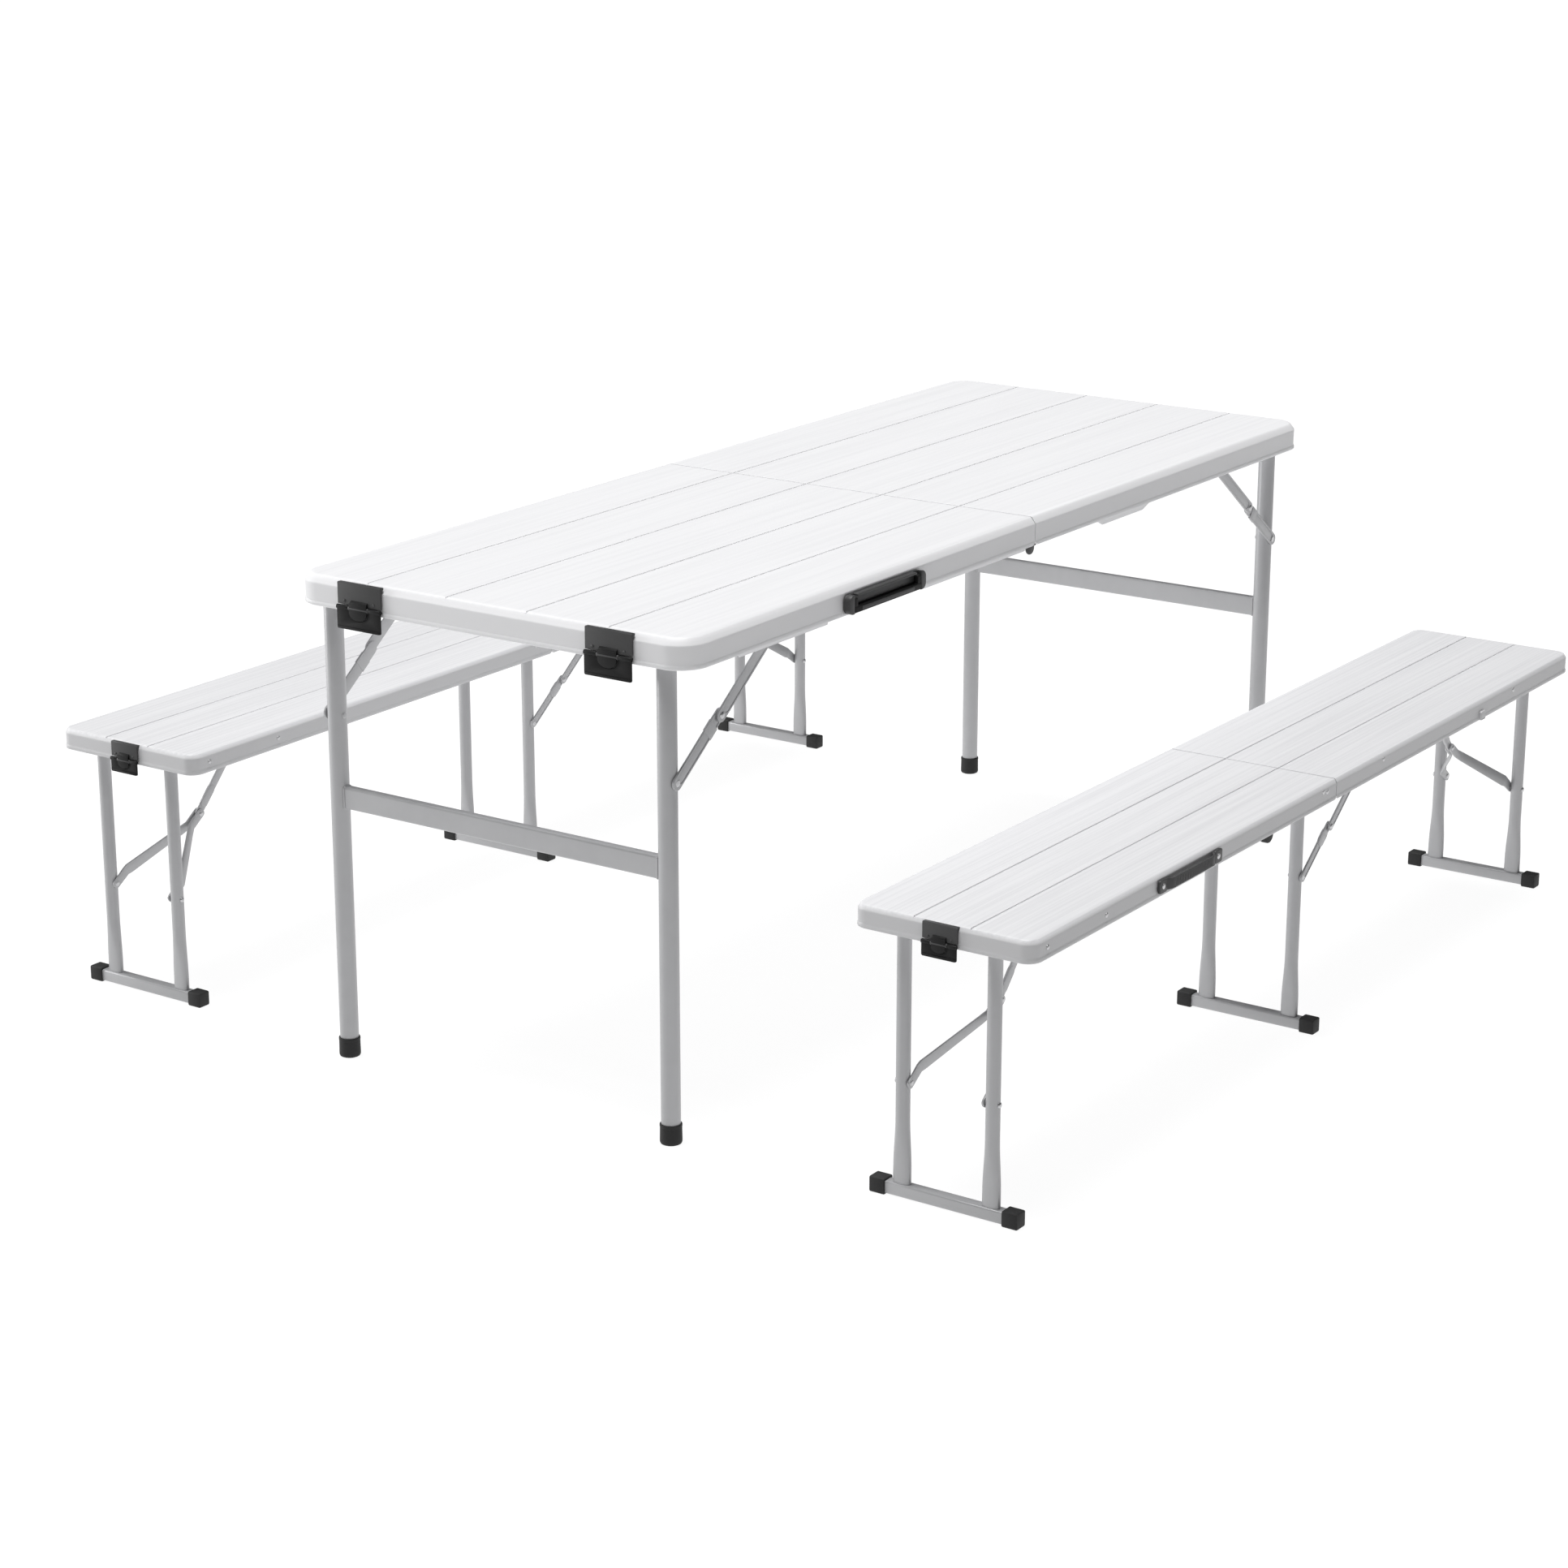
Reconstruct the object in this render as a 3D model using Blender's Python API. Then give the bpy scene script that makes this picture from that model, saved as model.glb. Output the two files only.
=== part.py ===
"""Folding picnic table with two folding benches: moulded plastic tops in two hinged halves each,
painted steel tube legs that fold flat into the tops, and toggle braces that hold them open."""
import math

import bmesh
import bpy
from mathutils import Matrix, Vector

# ---- driving dimensions, metres -------------------------------------------------------------

CLEARANCE = 0.0003          # gap between touching pieces
SEAM_GAP = 0.0008           # gap between the two halves of a top
RIM_MEET_GAP = 0.001        # gap between the rims when a top is folded shut
LAYER_GAP = 0.0006          # sideways gap between a leg, its links and their bracket
LINK_THICKNESS = 0.003
GROOVE_WIDTH = 0.003
GROOVE_DEPTH = 0.0012

TABLE = dict(
    length=1.80, width=0.70, height=0.735, rim=0.044, skin=0.006, wall=0.005, corner=0.045,
    shoulder=0.012, planks=5, edge_plank=0.137, leg_inset=0.026, leg_side=0.055, leg_radius=0.014,
    pivot_rise=0.001, tube_above_pivot=0.008, rod_radius=0.005, cradle_gap=0.034, cradle_width=0.022,
    hinge_offset=0.012, hinge_pin=0.004, hinge_plate=0.016, hinge_inset=0.0048,
    crossbar_drop=0.3075, crossbar_height=0.033, crossbar_thickness=0.015,
    brace_drop=0.184, brace_reach=0.245, link_width=0.020, link_pin=0.004,
    cap_height=0.030, cap_wall=0.0017, cap_floor=0.004)

BENCH = dict(
    length=1.74, width=0.28, height=0.410, rim=0.032, skin=0.005, wall=0.0045, corner=0.022,
    shoulder=0.006, planks=3, edge_plank=0.0965, leg_inset=0.023, mid_leg_x=0.018, leg_side=0.070,
    leg_radius=0.010, pivot_rise=0.0, tube_above_pivot=0.006, rod_radius=0.004,
    cradle_gap=0.027, cradle_width=0.014, hinge_offset=0.009, hinge_pin=0.003, hinge_plate=0.0085,
    hinge_inset=0.0048, flat_top=0.11, flat_end=0.040, flat_width=0.0135, flat_depth=0.006,
    bar_past_leg=0.034, bar_depth=0.018, bar_low=0.002, bar_top=0.020, cap_past_leg=0.022,
    cap_length=0.024, cap_size=0.023,
    strut_drop=0.225, strut_reach=0.250, strut_mid_in=0.1270, strut_mid_down=0.13349,
    strut_width=0.014, strut_straight=0.025, notch_room=0.0015,
    stay_drop=0.150, stay_reach=0.200, stay_width=0.014,
    link_pin=0.003)

BENCH_Y = 0.73              # from the middle of the table to the middle of each bench

LATCH = dict(width=0.080, plate=0.0030, low=0.0335, inset=0.130, barrel=0.0035, pin=0.0015,
             barrel_half=0.014, flap_length=0.0315, flap_thickness=0.0025, standoff=0.0045)
BENCH_LATCH = dict(width=0.054, plate=0.0028, low=0.0250, barrel=0.003, pin=0.0013,
                   barrel_half=0.010, flap_length=0.0200, flap_thickness=0.0022, standoff=0.0040)
LATCH_TOP_DROP = 0.002      # the latch plate's top edge, below the top face

HANDLE = dict(x=-0.430, length=0.200, height=0.028, plate=0.003, lug_x=0.087, lug_width=0.010,
              lug_depth=0.012, pin=0.0020, grip_depth=0.008, grip_height=0.011, arm_width=0.008,
              arm_over=0.002, pivot_down=0.007, axis_out=0.0075)
STRAP = dict(x=-0.4555, length=0.179, height=0.019, thickness=0.004, pad=0.022, lift=0.0055)
KEEPER = dict(width=0.070, low=0.026, height=0.004)   # lip on the far end that a latch flap holds


# ---- modelling helpers ----------------------------------------------------------------------

def clear_scene():
    for obj in list(bpy.data.objects):
        bpy.data.objects.remove(obj, do_unlink=True)


def make_material(name, colour, roughness, metallic=0.0):
    material = bpy.data.materials.new(name)
    material.use_nodes = True
    shader = material.node_tree.nodes["Principled BSDF"]
    shader.inputs["Base Color"].default_value = (*colour, 1.0)
    shader.inputs["Roughness"].default_value = roughness
    shader.inputs["Metallic"].default_value = metallic
    return material


def add_prism(bm, outline, axis, low, high):
    """Close an outline, given in the two axes other than axis, into a prism from low to high."""
    def place(a, b, c):
        return {"X": (c, a, b), "Y": (a, c, b), "Z": (a, b, c)}[axis]
    start = [bm.verts.new(place(a, b, low)) for a, b in outline]
    face = bm.faces.new(start)
    grown = bmesh.ops.extrude_face_region(bm, geom=[face])
    moved = [item for item in grown["geom"] if isinstance(item, bmesh.types.BMVert)]
    step = Vector(place(0, 0, high - low))
    bmesh.ops.translate(bm, verts=moved, vec=step)


def add_box(bm, x, y, z):
    add_prism(bm, [(x[0], y[0]), (x[1], y[0]), (x[1], y[1]), (x[0], y[1])], "Z", z[0], z[1])


def circle(cx, cy, radius, count, rx=1.0, ry=1.0):
    turn = 2 * math.pi / count
    return [(cx + rx * radius * math.cos(turn * (i + 0.5)), cy + ry * radius * math.sin(turn * (i + 0.5)))
            for i in range(count)]


def add_cylinder(bm, axis, centre, radius, low, high, count=12):
    add_prism(bm, circle(centre[0], centre[1], radius, count), axis, low, high)


def stadium(start, end, radius, steps=5):
    """Outline of a bar with round ends between two points."""
    angle = math.atan2(end[1] - start[1], end[0] - start[0])
    points = []
    for centre, base in ((end, angle - math.pi / 2), (start, angle + math.pi / 2)):
        for i in range(steps + 1):
            a = base + math.pi * i / steps
            points.append((centre[0] + radius * math.cos(a), centre[1] + radius * math.sin(a)))
    return points


def add_loft(bm, rings):
    """Skin closed rings of equal length, given as lists of 3-D points, and cap both ends."""
    loops = [[bm.verts.new(point) for point in ring] for ring in rings]
    count = len(loops[0])
    for low, high in zip(loops, loops[1:]):
        for i in range(count):
            j = (i + 1) % count
            bm.faces.new((low[i], low[j], high[j], high[i]))
    bm.faces.new(list(reversed(loops[0])))
    bm.faces.new(loops[-1])


class Shell:
    """A bmesh that gathers closed shapes, given in the coordinates of the piece's group."""

    def __init__(self):
        self.bm = bmesh.new()

    def box(self, x, y, z):
        add_box(self.bm, x, y, z)
        return self

    def prism(self, outline, axis, low, high):
        add_prism(self.bm, outline, axis, min(low, high), max(low, high))
        return self

    def cylinder(self, axis, centre, radius, low, high, count=12):
        add_cylinder(self.bm, axis, centre, radius, min(low, high), max(low, high), count)
        return self

    def loft(self, rings):
        add_loft(self.bm, rings)
        return self

    def mesh(self, name, origin):
        bmesh.ops.recalc_face_normals(self.bm, faces=self.bm.faces)
        bmesh.ops.translate(self.bm, verts=self.bm.verts, vec=-Vector(origin))
        data = bpy.data.meshes.new(name)
        self.bm.to_mesh(data)
        self.bm.free()
        return data


def make_piece(name, body, material, group, origin, steps=()):
    """Make one object; steps are (operation, Shell) pairs, worked in order with Boolean modifiers."""
    obj = bpy.data.objects.new(name, body.mesh(name, origin))
    bpy.context.scene.collection.objects.link(obj)
    obj.parent = group
    obj.location = origin
    obj.data.materials.append(material)
    for index, (operation, shell) in enumerate(steps):
        tool_name = f"{name}.tool{index}"
        tool = bpy.data.objects.new(tool_name, shell.mesh(tool_name, origin))
        bpy.context.scene.collection.objects.link(tool)
        tool.parent = group
        tool.location = origin
        tool.hide_render = True
        tool.display_type = "WIRE"
        modifier = obj.modifiers.new(operation.title(), "BOOLEAN")
        modifier.operation = operation
        modifier.solver = "EXACT"
        modifier.use_self = True
        modifier.object = tool
    obj.data.shade_smooth()
    obj.data.set_sharp_from_angle(angle=math.radians(30))
    return obj


def make_group(name, location):
    empty = bpy.data.objects.new(name, None)
    bpy.context.scene.collection.objects.link(empty)
    empty.location = location
    return empty


# ---- places that follow from the sizes ------------------------------------------------------

def leg_x(size):
    return size["length"] / 2 - size["leg_inset"]


def leg_y(size):
    return size["width"] / 2 - size["leg_side"]


def cradle_y(size):
    return leg_y(size) - size["cradle_gap"]


def pivot_height(size):
    """Height of the legs' rods: about halfway between the skin and the rim's lower edge."""
    return size["height"] - (size["rim"] + size["skin"]) / 2 + size["pivot_rise"]


def latch_y():
    return TABLE["width"] / 2 - LATCH["inset"]


# ---- tops and seats -------------------------------------------------------------------------

def half_outline(size, side, inset, seam_inset):
    """Plan of one half of a top, from the seam round the two outer corners and back."""
    far = size["length"] / 2 - inset
    edge = size["width"] / 2 - inset
    radius = max(size["corner"] - inset, 0.001)
    start = SEAM_GAP / 2 + seam_inset
    steps = 5
    points = [(start, -edge)]
    for corner_y, base in ((-edge + radius, -math.pi / 2), (edge - radius, 0.0)):
        for i in range(steps + 1):
            a = base + math.pi / 2 * i / steps
            points.append((far - radius + radius * math.cos(a), corner_y + radius * math.sin(a)))
    points.append((start, edge))
    return [(side * x, y) for x, y in points]


def top_shell(size, side):
    top = size["height"]
    low = top - size["rim"]
    shoulder = size["shoulder"]
    wall = size["wall"]
    levels = [(wall, wall, top - size["skin"]), (wall, wall, low), (0.0, 0.0, low),
              (0.0, 0.0, top - shoulder), (shoulder * 0.3, 0.0, top - shoulder * 0.3),
              (shoulder, 0.0, top)]
    rings = [[(x, y, z) for x, y in half_outline(size, side, inset, seam)]
             for inset, seam, z in levels]
    return Shell().loft(rings)


def hinge_axis(size):
    """Height of the hinge pins: their rims then meet with RIM_MEET_GAP when the top is shut."""
    return size["height"] - size["rim"] + size["hinge_offset"] - RIM_MEET_GAP / 2


def seam_cuts(size, side):
    """Grooves, pockets for the hinge plates, the rim's round corner about the hinge pin, and
    notches where open middle legs pass the other half's seam wall as the top folds."""
    top = size["height"]
    reach = size["length"] / 2
    cuts = Shell()
    half = GROOVE_WIDTH / 2
    outer_groove = size["width"] / 2 - size["edge_plank"]
    pitch = 2 * outer_groove / (size["planks"] - 2)
    for i in range(size["planks"] - 1):
        y = i * pitch - outer_groove
        profile = [(y - half, top + 0.001), (y - half, top), (y, top - GROOVE_DEPTH), (y + half, top),
                   (y + half, top + 0.001)]
        cuts.prism(profile, "X", -side * 0.002, side * (reach - size["shoulder"] * 0.5))
    offset = size["hinge_offset"]
    axis_z = hinge_axis(size)
    pocket = size["hinge_plate"] + 0.003
    inner = size["width"] / 2 - size["wall"]
    for face in (-1, 1):
        y = sorted((face * (inner - 2 * size["hinge_inset"] - LINK_THICKNESS), face * inner))
        x = sorted((-side * 0.002, side * (offset + pocket)))
        cuts.box(x, y, (top - size["rim"] - 0.001, min(axis_z + pocket, top - size["skin"])))
    pin_x = side * (offset + SEAM_GAP / 2)
    outline = [(-side * 0.002, axis_z - offset - 0.004), (-side * 0.002, axis_z)]
    steps = 6
    for i in range(steps + 1):
        a = math.pi / 2 * i / steps
        outline.append((pin_x - side * offset * math.cos(a), axis_z - offset * math.sin(a)))
    outline.append((pin_x, axis_z - offset - 0.004))
    cuts.prism(outline, "Y", -size["width"], size["width"])
    if side < 0 and "mid_leg_x" in size:
        leg_face = axis_z + size["leg_radius"] - (size["mid_leg_x"] - offset)
        half_notch = size["leg_radius"] + size["notch_room"]
        for y in (-leg_y(size), leg_y(size)):
            cuts.box((-2 * size["wall"], 0.002), (y - half_notch, y + half_notch),
                     (top - size["rim"] - 0.001, leg_face + size["notch_room"]))
    return cuts


def top_fittings(size, side, frames, brackets, keepers):
    """Moulded pin stubs, leg cradles and brace brackets under one half, and latch keepers."""
    inner = size["width"] / 2 - size["wall"]
    under = size["height"] - size["skin"]
    pivot = pivot_height(size)
    add = Shell()
    for face in (-1, 1):
        add.cylinder("Y", (side * size["hinge_offset"], hinge_axis(size)), size["hinge_pin"],
                     face * (inner + size["wall"] / 2),
                     face * (inner - size["hinge_inset"] - LINK_THICKNESS - 0.001))
        for x in frames:
            low = face * (cradle_y(size) - size["cradle_width"] / 2)
            high = face * (cradle_y(size) + size["cradle_width"] / 2)
            half = size["rod_radius"] + 0.005
            add.prism([(x - half, pivot - half), (x + half, pivot - half), (x + half, under + 0.002),
                       (x - half, under + 0.002)], "Y", low, high)
    for x, low, high in brackets:
        half = size["link_pin"] + 0.006
        add.prism([(x - half, pivot - half), (x + half, pivot - half), (x + half, under + 0.002),
                   (x - half, under + 0.002)], "Y", low, high)
    for y, latch in keepers:
        low = size["height"] - size["rim"] + KEEPER["low"]
        reach = latch["standoff"] + latch["barrel"] * math.cos(math.pi / 12)
        add.box((size["length"] / 2 - 0.002, size["length"] / 2 + reach),
                (y - KEEPER["width"] / 2, y + KEEPER["width"] / 2), (low, low + KEEPER["height"]))
    return add


def top_holes(size, frames, brackets):
    """Bores for the legs' pivot rods and the upper links' pins."""
    pivot = pivot_height(size)
    cuts = Shell()
    reach = cradle_y(size) + size["cradle_width"]
    for x in frames:
        cuts.cylinder("Y", (x, pivot), size["rod_radius"] + CLEARANCE, -reach, reach)
    for x, low, high in brackets:
        cuts.cylinder("Y", (x, pivot), size["link_pin"] + CLEARANCE, low - 0.001, high + 0.001)
    return cuts


def make_top_half(name, size, side, frames, brackets, material, group, keepers=()):
    origin = (side * size["hinge_offset"], 0.0, hinge_axis(size))
    steps = [("DIFFERENCE", seam_cuts(size, side)),
             ("UNION", top_fittings(size, side, frames, brackets, keepers)),
             ("DIFFERENCE", top_holes(size, frames, brackets))]
    return make_piece(name, top_shell(size, side), material, group, origin, steps)


def make_hinge_plate(name, size, face, material, group):
    """Double-pivot plate that lets the two halves fold underside to underside."""
    axis_z = hinge_axis(size)
    offset = size["hinge_offset"]
    inner = size["width"] / 2 - size["wall"] - size["hinge_inset"]
    low, high = sorted((face * inner, face * (inner - LINK_THICKNESS)))
    plate = Shell().prism(stadium((-offset, axis_z), (offset, axis_z), size["hinge_plate"]),
                          "Y", low, high)
    holes = Shell()
    for x in (-offset, offset):
        holes.cylinder("Y", (x, axis_z), size["hinge_pin"] + CLEARANCE, low - 0.001, high + 0.001)
    return make_piece(name, plate, material, group, (-offset, 0.0, axis_z), [("DIFFERENCE", holes)])


# ---- table legs and braces ------------------------------------------------------------------

def make_table_frame(name, size, side, material, group):
    x = side * leg_x(size)
    pivot = pivot_height(size)
    y = leg_y(size)
    radius = size["leg_radius"]
    foot = size["cap_floor"] + CLEARANCE
    body = Shell().cylinder("Z", (x, -y), radius, foot, pivot + size["tube_above_pivot"], 16)
    more = Shell().cylinder("Z", (x, y), radius, foot, pivot + size["tube_above_pivot"], 16)
    half = size["crossbar_thickness"] / 2
    bar = size["crossbar_height"] / 2
    level = pivot - size["crossbar_drop"]
    more.box((x - half, x + half), (-y, y), (level - bar, level + bar))
    more.cylinder("Y", (x, pivot), size["rod_radius"], -y - radius / 2, y + radius / 2)
    holes = Shell()
    for face in (-1, 1):
        holes.cylinder("Y", (x, pivot - size["brace_drop"]), size["link_pin"] + CLEARANCE,
                       face * (y - radius - 0.002), face * (y + radius + 0.002))
    return make_piece(name, body, material, group, (x, 0.0, pivot),
                      [("UNION", more), ("DIFFERENCE", holes)])


def make_foot_cap(name, size, side, face, material, group):
    x = side * leg_x(size)
    y = face * leg_y(size)
    socket_radius = size["leg_radius"] + CLEARANCE
    radius = socket_radius + size["cap_wall"]
    rings = [[(px, py, z) for px, py in circle(x, y, r, 16)] for r, z in
             ((radius * 0.86, 0.0), (radius, 0.0025), (radius, size["cap_height"] - 0.0015),
              (radius - 0.0012, size["cap_height"]))]
    socket = Shell().cylinder("Z", (x, y), socket_radius, size["cap_floor"],
                              size["cap_height"] + 0.002, 16)
    return make_piece(name, Shell().loft(rings), material, group, (x, y, 0.0),
                      [("DIFFERENCE", socket)])


def toggle(drop, reach):
    """Lower length, upper length and middle joint of a straight toggle that also folds flat."""
    straight = math.hypot(drop, reach)
    lower = (straight - (reach - drop)) / 2
    share = lower / straight
    return lower, straight - lower, (reach * share, drop * (1 - share))


def make_link(name, start, end, pins, width, layer, material, group, origin):
    """Flat bar in an X-Z plane between two joints, with a pin through each hole that carries it."""
    low, high = sorted(layer)
    body = Shell().prism(stadium(start, end, width / 2), "Y", low, high)
    steps = []
    if pins:
        pin_shell = Shell()
        for centre, radius, y0, y1 in pins:
            pin_shell.cylinder("Y", centre, radius, y0, y1)
        steps.append(("UNION", pin_shell))
    return make_piece(name, body, material, group, origin, steps)


def brace_layers(outer):
    """Y ranges of lower link, upper link and bracket, outwards from a leg's outer face."""
    lower = (outer + LAYER_GAP, outer + LAYER_GAP + LINK_THICKNESS)
    upper = (lower[1] + LAYER_GAP, lower[1] + LAYER_GAP + LINK_THICKNESS)
    bracket = (upper[1] + LAYER_GAP, upper[1] + LAYER_GAP + LINK_THICKNESS)
    return lower, upper, bracket


def make_brace(prefix, size, x, side, face, drop, reach, width, material, group):
    """Two-link toggle brace on the outer face of a leg; it folds with the leg."""
    pivot = pivot_height(size)
    outer = leg_y(size) + size["leg_radius"]
    lower, upper, bracket = brace_layers(outer)
    inboard = -side
    middle_in, middle_down = toggle(drop, reach)[2]
    rivet = (x, pivot - drop)
    middle = (x + inboard * middle_in, pivot - middle_down)
    anchor = (x + inboard * reach, pivot)
    pin = size["link_pin"]
    inner = leg_y(size) - size["leg_radius"] - 0.001
    make_link(f"{prefix}_lower_link", rivet, middle,
              [(rivet, pin, face * inner, face * (lower[0] + LINK_THICKNESS / 2))],
              width, (face * lower[0], face * lower[1]), material, group, (rivet[0], 0.0, rivet[1]))
    make_link(f"{prefix}_upper_link", anchor, middle,
              [(anchor, pin, face * (upper[0] + LINK_THICKNESS / 2), face * (bracket[1] + 0.001))],
              width, (face * upper[0], face * upper[1]), material, group, (anchor[0], 0.0, anchor[1]))


def bracket_range(size, face):
    low, high = brace_layers(leg_y(size) + size["leg_radius"])[2]
    return tuple(sorted((face * low, face * high)))


# ---- latches and handles --------------------------------------------------------------------

def latch_axis(size, latch):
    x = -size["length"] / 2 - latch["standoff"]
    z = size["height"] - LATCH_TOP_DROP - latch["low"] - latch["barrel"] * 0.3
    return x, z


def make_latch(prefix, size, latch, y, material, group):
    """Black hook plate on the end rim, with a flap hinged to its lower edge."""
    end = -size["length"] / 2
    x, z = latch_axis(size, latch)
    half = latch["width"] / 2
    top = size["height"] - LATCH_TOP_DROP
    barrel = latch["barrel"]
    mid = latch["barrel_half"]
    lip = z + barrel + LAYER_GAP
    plate = Shell().box((end - CLEARANCE - latch["plate"], end - CLEARANCE),
                        (y - half, y + half), (lip, top))
    more = Shell().box((end - CLEARANCE - latch["plate"], end - CLEARANCE - latch["plate"] * 0.2),
                       (y - mid + 0.001, y + mid - 0.001), (z, lip + 0.002))
    more.cylinder("Y", (x, z), barrel, y - mid, y + mid)
    more.cylinder("Y", (x, z), latch["pin"], y - half + 0.001, y + half - 0.001, 8)
    make_piece(f"{prefix}_plate", plate, material, group, (x, y, z), [("UNION", more)])

    thick = latch["flap_thickness"] / 2
    flap = Shell().box((x - thick, x + thick), (y - half, y + half),
                       (z - latch["flap_length"], z - barrel - LAYER_GAP))
    arms = Shell()
    for face in (-1, 1):
        low = y + face * (mid + 0.0005)
        high = y + face * half
        arms.cylinder("Y", (x, z), barrel, low, high)
        arms.box((x - thick, x + thick), sorted((low, high)), (z - barrel - 0.002, z))
    bore = Shell().cylinder("Y", (x, z), latch["pin"] + CLEARANCE, y - half - 0.001,
                            y + half + 0.001, 8)
    make_piece(f"{prefix}_flap", flap, material, group, (x, y, z),
               [("UNION", arms), ("DIFFERENCE", bore)])


def make_handle(size, handle, material, group):
    """Carrying handle on the front rim: a plate with two lugs, and a grip that swings out."""
    face = -size["width"] / 2 - CLEARANCE
    middle = size["height"] - size["rim"] / 2 - 0.005
    top = middle + handle["height"] / 2
    low = middle - handle["height"] / 2
    x = handle["x"]
    half = handle["length"] / 2
    axis_y = face - handle["axis_out"]
    axis_z = top - handle["pivot_down"]
    plate = Shell().box((x - half, x + half), (face - handle["plate"], face), (low, top))
    lugs = Shell()
    bores = Shell()
    for end in (-1, 1):
        lug = sorted((x + end * handle["lug_x"], x + end * (handle["lug_x"] + handle["lug_width"])))
        lugs.box(lug, (face - handle["lug_depth"], face - handle["plate"] / 2),
                 (axis_z - 0.006, axis_z + 0.005))
        bores.cylinder("X", (axis_y, axis_z), handle["pin"] + CLEARANCE, lug[0] - 0.001,
                       lug[1] + 0.001, 8)
    make_piece("table_handle_base", plate, material, group, (x, axis_y, axis_z),
               [("UNION", lugs), ("DIFFERENCE", bores)])

    inner = handle["lug_x"] - 0.0008
    near = face - handle["plate"] - 0.0008
    grip = Shell().box((x - inner, x + inner), (near - handle["grip_depth"], near),
                       (low + 0.0005, low + 0.0005 + handle["grip_height"]))
    arms = Shell()
    for end in (-1, 1):
        arm = sorted((x + end * (inner - handle["arm_width"]), x + end * inner))
        arms.box(arm, (near - handle["grip_depth"], near), (low + 0.002, axis_z + handle["arm_over"]))
        arms.cylinder("X", (axis_y, axis_z), handle["pin"], x + end * (inner - 0.002),
                      x + end * (handle["lug_x"] + handle["lug_width"] - 0.001), 8)
    make_piece("table_handle_grip", grip, material, group, (x, axis_y, axis_z),
               [("UNION", arms)])


def make_strap(name, size, strap, side, material, group):
    """Moulded strap handle on a long rim, held by a pad at each end, with a finger gap."""
    face = size["width"] / 2 + CLEARANCE
    middle = size["height"] - size["rim"] / 2
    half = strap["length"] / 2
    pad = strap["pad"]
    thick = strap["thickness"]
    lift = strap["lift"]
    bend = pad + lift
    outline = [(-half, 0.0), (-half + pad, 0.0), (-half + bend, lift), (half - bend, lift),
               (half - pad, 0.0), (half, 0.0), (half, thick), (half - pad, thick),
               (half - bend, thick + lift), (-half + bend, thick + lift), (-half + pad, thick),
               (-half, thick)]
    body = Shell().prism([(strap["x"] + a, side * (face + b)) for a, b in outline], "Z",
                         middle - strap["height"] / 2, middle + strap["height"] / 2)
    return make_piece(name, body, material, group, (strap["x"], side * face, middle))


# ---- benches --------------------------------------------------------------------------------

def make_bench_frame(name, size, x, stay_face, material, group):
    """Two tubes with flattened feet on a bar with square end caps, and the pivot rod above."""
    pivot = pivot_height(size)
    y = leg_y(size)
    radius = size["leg_radius"]
    count = 12

    def tube(centre_y):
        wide = size["flat_width"] / radius
        thin = size["flat_depth"] / radius
        sections = [(size["bar_low"] + 0.004, thin, wide), (size["flat_end"], thin, wide),
                    (size["flat_top"], 1.0, 1.0), (pivot + size["tube_above_pivot"], 1.0, 1.0)]
        return [[(px, py, z) for px, py in circle(x, centre_y, radius, count, rx, ry)]
                for z, rx, ry in sections]
    body = Shell().loft(tube(-y))
    more = Shell().loft(tube(y))
    half = size["bar_depth"] / 2
    bar_end = y + size["bar_past_leg"]
    more.box((x - half, x + half), (-bar_end, bar_end), (size["bar_low"], size["bar_top"]))
    cap = size["cap_size"] / 2
    cap_start = y + size["cap_past_leg"]
    for face in (-1, 1):
        more.box((x - cap, x + cap), sorted((face * cap_start, face * (cap_start + size["cap_length"]))),
                 (0.0, size["cap_size"]))
    more.cylinder("Y", (x, pivot), size["rod_radius"], -y - radius / 2, y + radius / 2)
    holes = Shell()
    if stay_face:
        holes.cylinder("Y", (x, pivot - size["stay_drop"]), size["link_pin"] + CLEARANCE,
                       stay_face * (y - radius - 0.002), stay_face * (y + radius + 0.002))
    else:
        for face in (-1, 1):
            holes.cylinder("Y", (x, pivot - size["strut_drop"]), size["link_pin"] + CLEARANCE,
                           face * (y - radius - 0.002), face * (y + radius + 0.002))
    return make_piece(name, body, material, group, (x, 0.0, pivot),
                      [("UNION", more), ("DIFFERENCE", holes)])


def strut_tip():
    """Sideways range of a strut arm's tip, beside the middle link."""
    start = LINK_THICKNESS / 2 + LAYER_GAP + CLEARANCE
    return start, start + LINK_THICKNESS


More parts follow.
